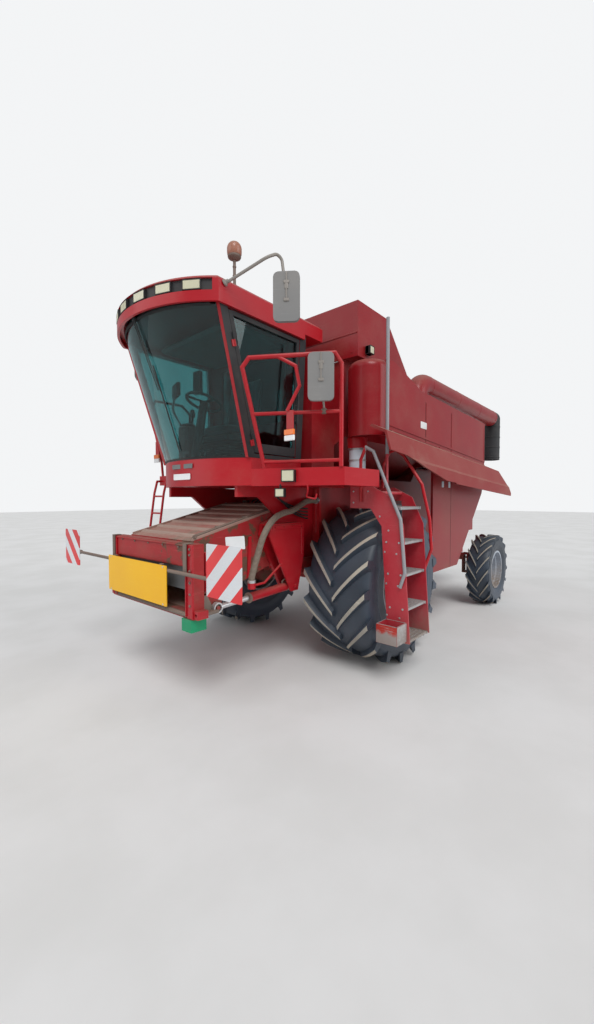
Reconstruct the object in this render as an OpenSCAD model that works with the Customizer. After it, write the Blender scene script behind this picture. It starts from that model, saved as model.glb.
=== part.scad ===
// Self-propelled grain harvester without its header.
// The drawing frame has X forward from the front axle, Y to the left and Z up from the ground.
// Every node is then shifted along X so that the origin is under the middle of the machine.

/* [Wheels] */
// Distance between the front and the rear axle
wheelbase = 3500; // [3300:10:3700]
// Radius of a front tyre over its lugs
front_r = 910; // [880:5:920]
// Width of a front tyre
front_w = 790; // [700:10:800]
// Distance from the centreline to the middle of a front tyre
front_y = 1160; // [1155:5:1200]
// Radius of a front rim at its bead seats
front_rim_r = 406; // [390:2:430]
// Height of a front lug
front_lug_h = 48; // [30:2:55]
// Lugs along each side of a front tyre
front_lugs = 17; // [12:1:22]
// Radius of a rear tyre over its lugs
rear_r = 615; // [590:5:640]
// Width of a rear tyre
rear_w = 370; // [340:10:390]
// Distance from the centreline to the middle of a rear tyre
rear_y = 1430; // [1420:5:1450]
// Radius of a rear rim at its bead seats
rear_rim_r = 312; // [300:2:330]
// Height of a rear lug
rear_lug_h = 30; // [20:2:36]
// Lugs along each side of a rear tyre
rear_lugs = 16; // [12:1:20]
// Running gap between a wheel and its hub
hub_gap = 0.3; // [0.2:0.1:1]

/* [Chassis] */
// Half width of the body between the front wheels
body_half_w = 700; // [660:10:720]
// Distance from the centreline to the middle of a frame beam
beam_y = 600; // [560:10:640]
// Height of a frame beam's underside
beam_z = 1040; // [1035:5:1060]
// Height of a frame beam
beam_h = 160; // [140:10:180]
// Width of a frame beam
beam_w = 100; // [80:10:120]
// Front end of the frame
frame_front_x = 780; // [760:10:800]
// Rear end of the frame
frame_rear_x = -4700; // [-4720:10:-4680]
// Diameter of the front axle tube
axle_d = 240; // [200:10:240]
// Top of the threshing body
body_top_z = 2150; // [2120:10:2180]
// Front wall of the threshing body
body_front_x = 480; // [460:5:500]
// Thickness of folded sheet panels
sheet = 30; // [20:2:36]

/* [Feeder] */
// Pivot of the feeder house ahead of the front axle
pivot_x = 820; // [810:5:830]
// Height of the feeder pivot
pivot_z = 1560; // [1550:5:1570]
// Radius of the round rear end of the feeder house
feeder_end_r = 270; // [260:5:280]
// Front face of the feeder house
feeder_x = 2300; // [2250:10:2320]
// Half width of the feeder tunnel
feeder_half_w = 560; // [540:5:570]
// Half width of the feeder's front frame
face_half_w = 730; // [700:5:740]
// Lower edge of the feeder's front frame
feeder_low_z = 840; // [820:5:860]
// Upper edge of the feeder's front frame
feeder_top_z = 1490; // [1470:5:1510]
// Depth of the feeder's front frame
face_depth = 110; // [90:5:130]
// Wall of the feeder house
feeder_wall = 16; // [12:1:20]
// Radius of the feeder's pivot stubs
stub_r = 45; // [40:1:50]

/* [Lift cylinders] */
// Distance from the centreline to a lift cylinder
lift_y = 665; // [660:5:670]
// Height of a lift cylinder's lower pin
lift_base_z = 930; // [920:5:940]
// Lower pin of a lift cylinder ahead of the front axle
lift_base_x = 1000; // [990:5:1010]
// Rod eye of a lift cylinder ahead of the front axle
lift_eye_x = 2000; // [1990:5:2010]
// Height of a lift cylinder's rod eye
lift_eye_z = 880; // [875:5:890]
// Diameter of a lift barrel
barrel_d = 90; // [80:2:100]
// Diameter of a lift rod
lift_rod_d = 50; // [44:2:56]

/* [Cab] */
// Rear wall of the cab
cab_rear_x = 910; // [890:5:930]
// Height of the cab's glass above the ground, at its lower edge
cab_floor_z = 2280; // [2260:5:2300]
// Underside of the cab
cab_base_z = 2010; // [2000:5:2020]
// Half width of the cab at its floor
cab_half_w = 745; // [730:5:750]
// Outward lean of the cab's sides, in degrees
cab_lean = 3.2; // [2.5:0.1:4]
// Height of the cab's side frames
cab_side_h = 1345; // [1320:5:1360]
// Thickness of the cab's posts and doors
post_t = 40; // [34:2:46]
// Foot of the front post ahead of the front axle
post_foot_x = 1640; // [1620:5:1660]
// Head of the front post ahead of the front axle
post_head_x = 2050; // [2030:5:2070]
// Radius of the curved windscreen and visor
screen_r = 1160; // [1100:10:1250]
// Height of the roof cap above its lower edge
roof_h = 185; // [170:5:200]
// Glass thickness
glass_t = 8; // [5:1:10]
// Gap round the cab door
door_gap = 6; // [5:1:8]
// Gap over the cab door, wider because the inclined hinge line lifts the door's front corner
door_top_gap = 10; // [9:1:12]

/* [Platform] */
// Height of the platform's deck
deck_z = 2170; // [2150:5:2190]
// Height of the platform's edge beam
deck_h = 165; // [150:5:175]
// Outer edge of the platform
deck_y = 1600; // [1590:5:1620]
// Diameter of the guard rail's tube
rail_d = 40; // [32:2:44]
// Forward stringer of the access ladder
stringer_front_x = 600; // [590:5:620]
// Rearward stringer of the access ladder
stringer_rear_x = 150; // [140:5:170]
// Depth of a stringer
stringer_w = 240; // [220:5:250]
// Thickness of a stringer
stringer_t = 12; // [8:1:16]

/* [Tank and panels] */
// Front wall of the grain tank
tank_front_x = 450; // [430:5:470]
// Rear wall of the grain tank
tank_rear_x = -1900; // [-1950:10:-1850]
// Half width of the grain tank
tank_half_w = 1000; // [980:5:1005]
// Upper rim of the grain tank
tank_top_z = 3450; // [3420:5:3470]
// Upper edge of the raised tank extension
extension_z = 4050; // [4000:5:4080]
// Outer face of the upper side panels
panel_y = 1500; // [1490:5:1510]
// Rear end of the upper side panels
panel_rear_x = -3000; // [-3050:10:-2950]
// Outer edge of the wheel arches and flares
flare_y = 1750; // [1740:5:1760]
// Outer face of the lower side shields
shield_y = 1450; // [1440:5:1455]
// Lower edge of the lower side shields
shield_low_z = 880; // [860:10:900]

/* [Unloader] */
// Swivel of the unloading tube ahead of the front axle
swivel_x = -950; // [-960:5:-940]
// Height of the unloading tube's middle
tube_z = 3460; // [3455:5:3470]
// Diameter of the unloading tube
tube_d = 300; // [280:5:305]
// Rear end of the unloading tube
tube_rear_x = -4300; // [-4350:10:-4250]

/* [Rear] */
// Rear end of the straw hood
hood_rear_x = -4950; // [-5000:10:-4900]
// Distance from the centreline to a rear kingpin
kingpin_y = 1120; // [1115:5:1125]
// Height of the rear axle beam's middle
rear_beam_z = 800; // [795:5:805]
// Length of a steering arm
steer_arm = 200; // [190:5:210]

/* [Hidden] */
$fn = 48;
paint = [0.60, 0.11, 0.12];
dusty = [0.62, 0.40, 0.36];
black = [0.08, 0.08, 0.08];
silver = [0.70, 0.72, 0.74];
rubber = [0.13, 0.13, 0.14];
teal = [0.10, 0.30, 0.32, 0.5];
cream = [0.90, 0.88, 0.72];
// Seating gap between pieces that only lie on each other
seat_gap = 0.3;
// Radial clearance of a running shaft
run_gap = 0.05;
// Centres and lean of the curved windscreen at its foot and its head
screen_foot_cx = post_foot_x - sqrt(pow(screen_r, 2) - pow(cab_half_w, 2));
cab_top_half_w = cab_half_w + cab_side_h * sin(cab_lean);
cab_top_z = cab_floor_z + cab_side_h * cos(cab_lean);
screen_head_cx = post_head_x - sqrt(pow(screen_r, 2) - pow(cab_top_half_w, 2));
screen_lean = atan((screen_head_cx - screen_foot_cx) / (cab_top_z - cab_floor_z));
// A leaning cylinder is longer than it is wide where the floor cuts it, so its own radius is larger
glass_r = 1.048 * screen_r;
glass_foot_cx = post_foot_x - sqrt(pow(glass_r, 2) - pow(cab_half_w, 2)) / cos(screen_lean);
glass_head_cx = post_head_x - sqrt(pow(glass_r, 2) - pow(cab_top_half_w, 2)) / cos(screen_lean);
glass_lean = atan((glass_head_cx - glass_foot_cx) / (cab_top_z - cab_floor_z));
roof_front_r = screen_r + 60;
// Farthest points ahead and behind, whose middle is the origin
front_reach = screen_head_cx + roof_front_r + 6;
rear_reach = hood_rear_x - 45;
mid_x = (front_reach + rear_reach) / 2;
frame_top_z = beam_z + beam_h;
// The unloading tube stands this far from the tank's side
tube_gap = 50;
swivel_y = tank_half_w + tube_gap + tube_d / 2;

// Shared shapes
module placed() { translate([-mid_x, 0, 0]) children(); }
module both() { children(); mirror([0, 1, 0]) children(); }
module block(lo, hi) { translate(lo) cube(hi - lo); }
module side_profile(y0, y1) { translate([0, y1, 0]) rotate([90, 0, 0]) linear_extrude(y1 - y0) children(); }
module cross_profile(x0, x1) {
    translate([x0, 0, 0]) rotate([90, 0, 90]) linear_extrude(x1 - x0) children();
}
module plan(z0, z1) { translate([0, 0, z0]) linear_extrude(z1 - z0) children(); }
module along_y(x, z, y0, y1, r) { translate([x, y1, z]) rotate([90, 0, 0]) cylinder(r = r, h = y1 - y0); }
module upright(x, y, z0, z1, r) { translate([x, y, z0]) cylinder(r = r, h = z1 - z0); }
module rod(a, b, d) {
    v = b - a;
    translate(a) rotate([0, acos(v[2] / norm(v)), atan2(v[1], v[0])])
        cylinder(d = d, h = norm(v), $fn = 24);
}
// A tube through the listed points, with a slightly larger ball at each bend
module bent_tube(points, d, bend = 1.04) {
    for (i = [1 : len(points) - 1]) rod(points[i - 1], points[i], d);
    for (i = [1 : 1 : len(points) - 2]) translate(points[i]) sphere(d = d * bend, $fn = 24);
}

// Frame
cross_members = 9;
cross_w = 80;
outrigger_x = [-1300, -2250];
outrigger_s = 60;
hanger_half = 100;
hanger_t = 24;
hanger_y = 90;
hanger_low_z = 740;
spreader_x = -4655;
spreader_y = 330;
spreader_pin_r = 25;
spreader_pin_z = 985;
hitch_x = -4945;
hitch_r = 20;
hitch_z = [1050, 1090];
module main_frame() {
    step = (frame_front_x - frame_rear_x - cross_w) / (cross_members - 1);
    in_y = beam_y - beam_w / 2;
    color(paint) placed() {
        both() block([frame_rear_x, in_y, beam_z], [frame_front_x, in_y + beam_w, frame_top_z]);
        for (i = [0 : cross_members - 1])
            block([frame_rear_x + i * step, -beam_y, beam_z],
                [frame_rear_x + i * step + cross_w, beam_y, frame_top_z]);
        for (x = [-wheelbase - hanger_half - hanger_t, -wheelbase + hanger_half])
            block([x, -hanger_y, hanger_low_z], [x + hanger_t, hanger_y, beam_z]);
        block([-wheelbase - hanger_half - hanger_t, -beam_y, beam_z],
            [-wheelbase + hanger_half + hanger_t, beam_y, beam_z + cross_w]);
        both() upright(spreader_x, spreader_y, spreader_pin_z, beam_z + cross_w / 2, spreader_pin_r);
        difference() {
            block([hitch_x - 40, -50, hitch_z[0]], [frame_rear_x + 1, 50, hitch_z[1]]);
            upright(hitch_x, 0, hitch_z[0] - 1, hitch_z[1] + 1, hitch_r);
        }
    }
}
// Arms from the frame beams to the lower side shields
module outriggers() {
    color(paint) placed() both() for (x = outrigger_x)
        block([x, beam_y + beam_w / 2 + seat_gap, beam_z],
            [x + outrigger_s, shield_y - sheet, beam_z + outrigger_s]);
}

// Front axle with its final drives
drive_r = [125, 270, 150];
drive_y = [560, 700, 850];
front_disc_y = front_y - 60;
module front_axle() {
    color(paint) placed() {
        along_y(0, front_r, -drive_y[0], drive_y[0], axle_d / 2);
        both() {
            along_y(0, front_r, drive_y[0] - 20, drive_y[1], drive_r[0]);
            along_y(0, front_r, drive_y[1] - 1, drive_y[2], drive_r[1]);
            along_y(0, front_r, drive_y[2] - 1, front_disc_y - hub_gap, drive_r[2]);
            block([-axle_d / 2, beam_y - beam_w / 2, front_r], [axle_d / 2, beam_y + beam_w / 2, beam_z]);
        }
    }
}

// Closed body with the threshing drums, and the deck for the engine behind it
body_rear_x = -3290;
deck_step_x = -2100;
engine_deck_z = 2380;
module threshing_body() {
    color(paint) placed() side_profile(-body_half_w, body_half_w)
        polygon([[body_front_x, frame_top_z], [body_front_x, body_top_z], [tank_rear_x, body_top_z],
            [deck_step_x, engine_deck_z], [body_rear_x, engine_deck_z], [body_rear_x, frame_top_z]]);
}

// Front bulkhead with the feeder's bearings, the lift brackets and the arms under the cab
wall_t = 40;
cheek_y = [566, 606];
shield_plate_y = [720, 740];
bracket_x = [850, 1360];
bracket_top_z = 1620;
bracket_low_z = 880;
arm_front_x = 1700;
arm_h = 110;
lift_pin_r = 25;
holder = [[1200, 730, 1200], [1500, 775, 1048], [1685, 790, 1048]];
holder_d = 24;
coupler_r = 38;
coupler_z = [1020, 1086];
module front_bulkhead() {
    color(paint) placed() {
        difference() {
            union() {
                block([body_front_x, -body_half_w, frame_top_z],
                    [body_front_x + wall_t, body_half_w, cab_base_z]);
                both() side_profile(cheek_y[0], cheek_y[1])
                    polygon([[body_front_x, frame_top_z], [frame_front_x, frame_top_z], [bracket_x[0], 1150],
                        [950, bracket_low_z], [1060, bracket_low_z], [1390, 1500],
                        [bracket_x[1], bracket_top_z],
                        [1150, 1700], [1400, cab_base_z - arm_h], [arm_front_x, cab_base_z - arm_h],
                        [arm_front_x, cab_base_z], [body_front_x, cab_base_z]]);
            }
            along_y(pivot_x, pivot_z, -body_half_w, body_half_w, stub_r + run_gap);
        }
        both() {
            side_profile(shield_plate_y[0], shield_plate_y[1])
                polygon([[bracket_x[0], bracket_top_z], [bracket_x[1], bracket_top_z], [1390, 1500],
                    [1060, bracket_low_z], [950, bracket_low_z], [bracket_x[0], 1250]]);
            block([bracket_x[0], cheek_y[1] - 1, bracket_top_z - 20],
                [bracket_x[1], shield_plate_y[0] + 1, bracket_top_z]);
            block([bracket_x[0], cheek_y[1] - 1, 1250],
                [bracket_x[0] + 20, shield_plate_y[0] + 1, bracket_top_z]);
            along_y(lift_base_x, lift_base_z, cheek_y[1] - 1, shield_plate_y[0] + 1, lift_pin_r);
        }
        bent_tube(holder, holder_d);
        upright(holder[2][0], holder[2][1], coupler_z[0], coupler_z[1] - seat_gap, coupler_r);
    }
}

// Grain tank with its hopper floor, and the closed front part behind the cab
hopper_z = 2590;
hopper_half_w = 300;
plenum_x = 860;
plenum_half_w = 860;
unloader_base_z = [2560, 3000];
module tank_section(t) {
    polygon([[-tank_half_w + t, tank_top_z], [-tank_half_w + t, hopper_z + t / 2],
        [-hopper_half_w + t / 2, body_top_z + t], [hopper_half_w - t / 2, body_top_z + t],
        [tank_half_w - t, hopper_z + t / 2], [tank_half_w - t, tank_top_z]]);
}
module grain_tank() {
    color(paint) placed() {
        difference() {
            cross_profile(tank_rear_x, tank_front_x) tank_section(0);
            translate([0, 0, 0.5]) cross_profile(tank_rear_x + sheet, tank_front_x - sheet)
                tank_section(sheet);
        }
        block([tank_front_x - 1, -plenum_half_w, deck_z], [plenum_x, plenum_half_w, tank_top_z - sheet]);
        upright(swivel_x, swivel_y, unloader_base_z[0], unloader_base_z[1], tube_d / 2 - 10);
        block([swivel_x - 60, tank_half_w - 1, 2700], [swivel_x + 60, swivel_y, 2900]);
    }
}

// Raised front of the tank with its side wings
wing_half_w = 1200;
wing_x = [480, -150, -700];
wing_t = 25;
low_rim_z = 3600;
module tank_extension() {
    color(paint) placed() {
        difference() {
            block([tank_rear_x, -tank_half_w, tank_top_z], [tank_front_x, tank_half_w, low_rim_z]);
            block([tank_rear_x + wing_t, -tank_half_w + wing_t, tank_top_z - 1],
                [wing_x[0] + 1, tank_half_w - wing_t, low_rim_z + 1]);
        }
        block([wing_x[0] - wing_t, -wing_half_w, tank_top_z], [wing_x[0], wing_half_w, extension_z]);
        both() {
            side_profile(wing_half_w - wing_t, wing_half_w)
                polygon([[wing_x[0], tank_top_z], [wing_x[0], extension_z], [wing_x[1], extension_z],
                    [wing_x[2], tank_top_z + 60], [wing_x[2], tank_top_z]]);
            block([wing_x[2], tank_half_w - 1, tank_top_z], [wing_x[0], wing_half_w, tank_top_z + wing_t]);
        }
    }
}

// Upper side panels with their round noses
nose = [360, 1270];
nose_r = panel_y - nose[1];
nose_z = [2560, 3380];
nose_round = 90;
panel_knee_x = -500;
panel_top_z = [3380, 3200, 3140];
panel_low_z = [2630, 2450];
panel_roll_d = 80;
right_panel_rear_x = -2050;
hinge_d = 24;
panel_slope = atan((panel_low_z[0] - panel_low_z[1]) / (nose[0] - panel_rear_x));
function panel_low(x) = panel_low_z[0] - (nose[0] - x) * tan(panel_slope);
flare_x = [-1010, -3700];
hinge_y = panel_y + 12.5;
function hinge_z(x) = panel_low(x) - 15;
knuckles = [[-1050, -1120], [-2000, -2070]];
barrels = [[-1011, -1045], [-1125, -1995], [-2075, -2950]];
hinge_pin_r = 5;
hinge_play = 0.3;
// A hinge bore runs this far past its barrel
bore_over = 3;
// A stretch of the flare's hinge line between two places, grown at both ends
module hinge_rod(ends, grow, d) {
    rod([ends[0] + grow, hinge_y, hinge_z(ends[0] + grow)],
        [ends[1] - grow, hinge_y, hinge_z(ends[1] - grow)], d);
}
module nose_shell() {
    r = nose_r - nose_round;
    rotate_extrude(angle = 180, start = -90) difference() {
        union() {
            square([nose_r, nose_z[1] - nose_round - nose_z[0]]);
            square([r, nose_z[1] - nose_z[0]]);
            translate([r, nose_z[1] - nose_round - nose_z[0]]) circle(r = nose_round);
        }
        translate([0, -1]) square([nose_r - sheet, nose_z[1] - nose_round - nose_z[0]]);
        translate([-2 * nose_r, -1]) square([2 * nose_r, nose_z[1]]);
    }
}
module side_panel(rear_x) {
    roll_y = panel_y - panel_roll_d / 2 - 1;
    side_profile(panel_y - sheet, panel_y)
        polygon([[nose[0], panel_low(nose[0])], [nose[0], panel_top_z[0]], [nose[0] - 160, panel_top_z[0]],
            [panel_knee_x, panel_top_z[1]], [rear_x, panel_top_z[2]], [rear_x, panel_low(rear_x)]]);
    bent_tube([[nose[0] - 160, roll_y, panel_top_z[0] - panel_roll_d / 2],
        [panel_knee_x, roll_y, panel_top_z[1] - panel_roll_d / 2],
        [rear_x, roll_y, panel_top_z[2] - panel_roll_d / 2]], panel_roll_d);
    translate([nose[0], nose[1], nose_z[0]]) nose_shell();
    for (x = [-300, -1700]) block([x, tank_half_w, 2720], [x + 40, panel_y - sheet + 1, 2780]);
    for (k = knuckles) {
        hinge_rod(k, 0, hinge_d);
        hinge_rod(k, 40, 2 * hinge_pin_r);
        block([k[1], panel_y - sheet, hinge_z(k[0]) - 10], [k[0], hinge_y, panel_low(k[0]) + 10]);
    }
}
module side_panels() {
    color(paint) placed() {
        side_panel(panel_rear_x);
        mirror([0, 1, 0]) side_panel(right_panel_rear_x);
    }
}

// Flared skirts below the side panels: a fixed front part over the wheel and a hinged rear part
flare_t = 20;
arch_x = [730, -1000];
arch_out = 14;
pole = [470, 1560];
function flare_outer(lip) = [[0, 0], [170, -80], [235, -300], [flare_y - panel_y, -330],
    [flare_y - panel_y, lip]];
module flare_section(lip) {
    outer = flare_outer(lip);
    inner = [for (i = [len(outer) - 1 : -1 : 0]) outer[i] + [-flare_t, i < 2 ? -flare_t : 0]];
    polygon(concat(outer, inner));
}
module flare_sheet(x0, x1, lip) {
    length = (x0 - x1) / cos(panel_slope);
    translate([x0, hinge_y, hinge_z(x0)]) rotate([0, -panel_slope, 0]) translate([-length, 0, 0])
        rotate([90, 0, 90]) linear_extrude(length) flare_section(lip);
}
arch_low = [[900, 1900], [900, 2370], [400, 2330], [0, 2230], [-500, 2130], [-1100, 1990], [-1100, 1900]];
module wheel_arch() {
    difference() {
        translate([0, arch_out, 0]) flare_sheet(arch_x[0], arch_x[1], -460);
        side_profile(panel_y - 50, flare_y + 50) polygon(arch_low);
        upright(pole[0], pole[1], 2200, 2800, 30);
    }
    for (x = [-960, 250]) block([x, panel_y - sheet, hinge_z(x) - 30],
        [x + 60, hinge_y + arch_out, panel_low(x) - seat_gap]);
}
module wheel_arches() { color(paint) placed() both() wheel_arch(); }
module flare() {
    tip = [[-3900, 1800], [-3900, 2600], [-3060, 2600], [-3060, hinge_z(-3060)], [-3700, 1960],
        [-3700, 1800]];
    difference() {
        union() {
            flare_sheet(flare_x[0], flare_x[1], -470);
            for (b = barrels) hinge_rod(b, 0, hinge_d);
        }
        side_profile(panel_y - 50, flare_y + 50) polygon(tip);
        for (k = knuckles) block([k[1] - 5, panel_y - 60, hinge_z(k[1]) - 60],
            [k[0] + 5, hinge_y + 30, panel_low(k[0]) + 40]);
        for (b = barrels) hinge_rod(b, bore_over, 2 * (hinge_pin_r + hinge_play));
    }
}
module flare_left() { color(dusty) placed() flare(); }
module flare_right() { color(dusty) placed() mirror([0, 1, 0]) flare(); }

// Lower side shields
module lower_shields() {
    color(paint) placed() both() side_profile(shield_y - sheet, shield_y)
        polygon([[-990, shield_low_z], [-990, 2300], [-3200, 2300], [-3050, 1970], [-1920, shield_low_z]]);
}

// Straw hood, open below and at the foot of its rear wall
hood_top = [[-4300, 2380], [-4800, 2050], [hood_rear_x, 1650]];
module straw_hood() {
    color(paint) placed() difference() {
        side_profile(-body_half_w, body_half_w)
            polygon([[body_rear_x, frame_top_z], [body_rear_x, engine_deck_z], hood_top[0], hood_top[1],
                hood_top[2], [hood_rear_x, frame_top_z]]);
        side_profile(-body_half_w + sheet, body_half_w - sheet)
            polygon([[body_rear_x - sheet, frame_top_z - 1], [body_rear_x - sheet, engine_deck_z - sheet],
            hood_top[0] + [8, -sheet],
                hood_top[1] + [26, -22], hood_top[2] + [sheet, -8],
                [hood_rear_x + sheet, frame_top_z - 1]]);
        block([hood_rear_x - 1, -body_half_w + 100, frame_top_z - 1],
            [hood_rear_x + sheet + 1, body_half_w - 100, 1480]);
    }
}

// Engine block with its exhaust, and the housing over it
engine_box = [[-2950, -500, engine_deck_z], [-2150, 420, 3050]];
exhaust_at = [-2750, -250];
exhaust_r = 55;
exhaust_top_z = 3560;
module engine() {
    color(black) placed() {
        block(engine_box[0], engine_box[1]);
        upright(exhaust_at[0], exhaust_at[1], engine_box[1][2] - 1, exhaust_top_z, exhaust_r);
    }
}
cover_x = [-1935, -3280];
cover_half_w = 900;
cover_top_z = 3150;
screen_at = [-2560, 2790];
air_r = 400;
duct_y = 1400;
air_pin_r = 25;
module engine_cover() {
    color(paint) placed() difference() {
        union() {
            block([cover_x[1], -cover_half_w, engine_deck_z], [cover_x[0], cover_half_w, cover_top_z]);
            along_y(screen_at[0], screen_at[1], -duct_y, -cover_half_w + 1, air_r + sheet);
        }
        block([cover_x[1] + sheet, -cover_half_w + sheet, engine_deck_z - 1],
            [cover_x[0] - sheet, cover_half_w - sheet, cover_top_z - sheet]);
        along_y(screen_at[0], screen_at[1], -duct_y - 1, -cover_half_w + sheet + 1, air_r);
        upright(exhaust_at[0], exhaust_at[1], cover_top_z - 2 * sheet, cover_top_z + 1, exhaust_r + 10);
    }
    color(paint) placed() translate([screen_at[0], 0, screen_at[1]]) {
        block([-air_r - 5, -duct_y + 70, -25], [air_r + 5, -duct_y + 100, 25]);
        block([-25, -duct_y + 70, -air_r - 5], [25, -duct_y + 100, air_r + 5]);
        along_y(0, 0, -duct_y - 30, -duct_y + 71, air_pin_r);
    }
}
module air_screen() {
    color(black) placed() translate([screen_at[0], 0, screen_at[1]]) {
        difference() {
            along_y(0, 0, -duct_y - 60, -duct_y + 40, air_r - 8);
            along_y(0, 0, -duct_y - 45, -duct_y + 41, air_r - 23);
        }
        difference() {
            along_y(0, 0, -duct_y - 80, -duct_y + 60, 60);
            along_y(0, 0, -duct_y - 31, -duct_y + 61, air_pin_r + run_gap);
        }
    }
}

// Fuel tank on top of the straw hood
fuel_box = [[-4150, -620, engine_deck_z], [-3330, 620, 2900]];
module fuel_tank() {
    color(black) placed() {
        block(fuel_box[0], fuel_box[1]);
        upright(-3900, 400, 2899, 2960, 60);
    }
}

// Cab
front_post_w = 90;
rear_post_w = 95;
sill_h = 40;
header_h = 55;
post_run = (post_head_x - post_foot_x) / cab_side_h;
// Outline of a cab side or an opening in it, drawn in the plane of the side
module side_outline(rear, front, low, high) {
    polygon([[cab_rear_x + rear, low], [post_foot_x + 40 - front + post_run * low, low],
        [post_foot_x + 40 - front + post_run * high, high], [cab_rear_x + rear, high]]);
}
// Places a plate in the plane of the left side, its outer face sunk by depth
module in_side_plane(depth, thick) {
    translate([0, cab_half_w, cab_floor_z]) rotate([90 - cab_lean, 0, 0]) translate([0, 0, depth])
        linear_extrude(thick) children();
}
module side_opening(gap) {
    side_outline(rear_post_w + gap, front_post_w + gap, sill_h + 2 * gap, cab_side_h - header_h - gap);
}
module cab_plan(cx, r, half_w, rear) {
    intersection() {
        translate([cx, 0]) circle(r = r, $fn = 128);
        translate([rear, -half_w]) square([cx + r - rear + 1, 2 * half_w]);
    }
}
module cab_wall(t) {
    polygon([[-cab_half_w + t, cab_floor_z - 1], [cab_half_w - t, cab_floor_z - 1],
        [cab_top_half_w - t, cab_top_z], [-cab_top_half_w + t, cab_top_z]]);
}
rear_glass = [[-560, 2750], [560, 3500]];
// Hinge line of the door: along the front post, just outside its face
door_axis_x = post_foot_x + 40 - front_post_w;
door_axis_out = 12;
door_barrel_r = 10;
door_barrel_h = 60;
door_hinges = [180, 1080];
module on_door_axis() {
    translate([0, cab_half_w, cab_floor_z]) rotate([-cab_lean, 0, 0])
        translate([door_axis_x, door_axis_out, 0])
        rotate([0, atan(post_run), 0]) mirror([0, 1, 0]) children();
}
module cab_shell() {
    color(paint) placed() {
        on_door_axis() for (s = door_hinges) {
            translate([0, 0, s - door_barrel_h]) cylinder(r = door_barrel_r, h = door_barrel_h - 2);
            translate([0, 0, s - door_barrel_h]) cylinder(r = hinge_pin_r, h = 2 * door_barrel_h - 4);
            translate([0, 0, s - door_barrel_h]) cube([30, door_axis_out + 4, door_barrel_h - 2]);
        }
        plan(cab_base_z, cab_floor_z) cab_plan(screen_foot_cx, screen_r, cab_half_w, cab_rear_x);
        difference() {
            cross_profile(cab_rear_x, cab_rear_x + post_t) cab_wall(0);
            cross_profile(cab_rear_x - 1, cab_rear_x + post_t + 1) translate(rear_glass[0])
                square(rear_glass[1] - rear_glass[0]);
        }
        intersection() {
            both() in_side_plane(0, post_t) difference() {
                side_outline(0, 0, -1, cab_side_h + 10);
                side_opening(0);
            }
            block([0, -2000, cab_floor_z - 1], [4000, 2000, cab_top_z]);
        }
    }
}
roof_half_w = 850;
roof_rear_x = 660;
brim_h = 55;
band_z = [35, 140];
band_deep = 25;
module roof_plan(inset) {
    cab_plan(screen_head_cx, roof_front_r - inset, roof_half_w - inset, roof_rear_x + inset);
}
module cab_roof() {
    color(paint) placed() {
        difference() {
            union() {
                plan(cab_top_z, cab_top_z + roof_h - 50) roof_plan(0);
                hull() {
                    plan(cab_top_z + roof_h - 50, cab_top_z + roof_h - 48) roof_plan(0);
                    plan(cab_top_z + roof_h - 15, cab_top_z + roof_h - 13) roof_plan(35);
                    plan(cab_top_z + roof_h - 1, cab_top_z + roof_h) roof_plan(140);
                }
            }
            intersection() {
                plan(cab_top_z + band_z[0], cab_top_z + band_z[1]) difference() {
                    translate([screen_head_cx, 0]) circle(r = roof_front_r + 10, $fn = 128);
                    translate([screen_head_cx, 0]) circle(r = roof_front_r - band_deep, $fn = 128);
                }
                block([screen_head_cx + 500, -roof_half_w + 40, cab_top_z],
                    [screen_head_cx + 2 * roof_front_r, roof_half_w - 40, cab_top_z + roof_h]);
            }
        }
        plan(cab_top_z - brim_h, cab_top_z + 1) difference() {
            roof_plan(0);
            roof_plan(25);
            translate([roof_rear_x - 1, -roof_half_w - 1]) square([300, 2 * roof_half_w + 2]);
        }
    }
}

// Lamps and the beacon
roof_lamp_angles = [-34, -21, -8, 6, 20, 33];
roof_lamp = [26, 165, 86];
fascia_lamp = [330, 130];
wing_lamp = [80, 70, 90];
fascia_turn = atan((post_foot_x - 1310) / (deck_y - cab_half_w));
// Places pieces on the slanted front edge of the platform, x outward and y along the edge
module on_fascia(y) {
    translate([post_foot_x, cab_half_w, deck_z - deck_h]) rotate([0, 0, fascia_turn]) translate([0, y, 0])
        children();
}
beacon_at = [1750, 640];
beacon_z = 4200;
module lamps() {
    color(cream) placed() {
        for (a = roof_lamp_angles) translate([screen_head_cx, 0, cab_top_z + band_z[0] + 8])
            rotate([0, 0, a])
            translate([roof_front_r - band_deep + seat_gap, -roof_lamp[1] / 2, 0]) cube(roof_lamp);
        upright(beacon_at[0], beacon_at[1], cab_top_z + roof_h, beacon_z - 40, 14);
        translate([beacon_at[0], beacon_at[1], beacon_z - 50]) cylinder(r = 70, h = 90);
        translate([beacon_at[0], beacon_at[1], beacon_z + 40]) sphere(r = 70);
        on_fascia(fascia_lamp[0]) translate([seat_gap, 0, 35]) cube([60, 130, 110]);
        translate([250, wing_half_w, tank_top_z + 50]) cube(wing_lamp);
        both() block([hood_rear_x - 45, 480, 1510], [hood_rear_x, 640, 1630]);
    }
}

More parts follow.
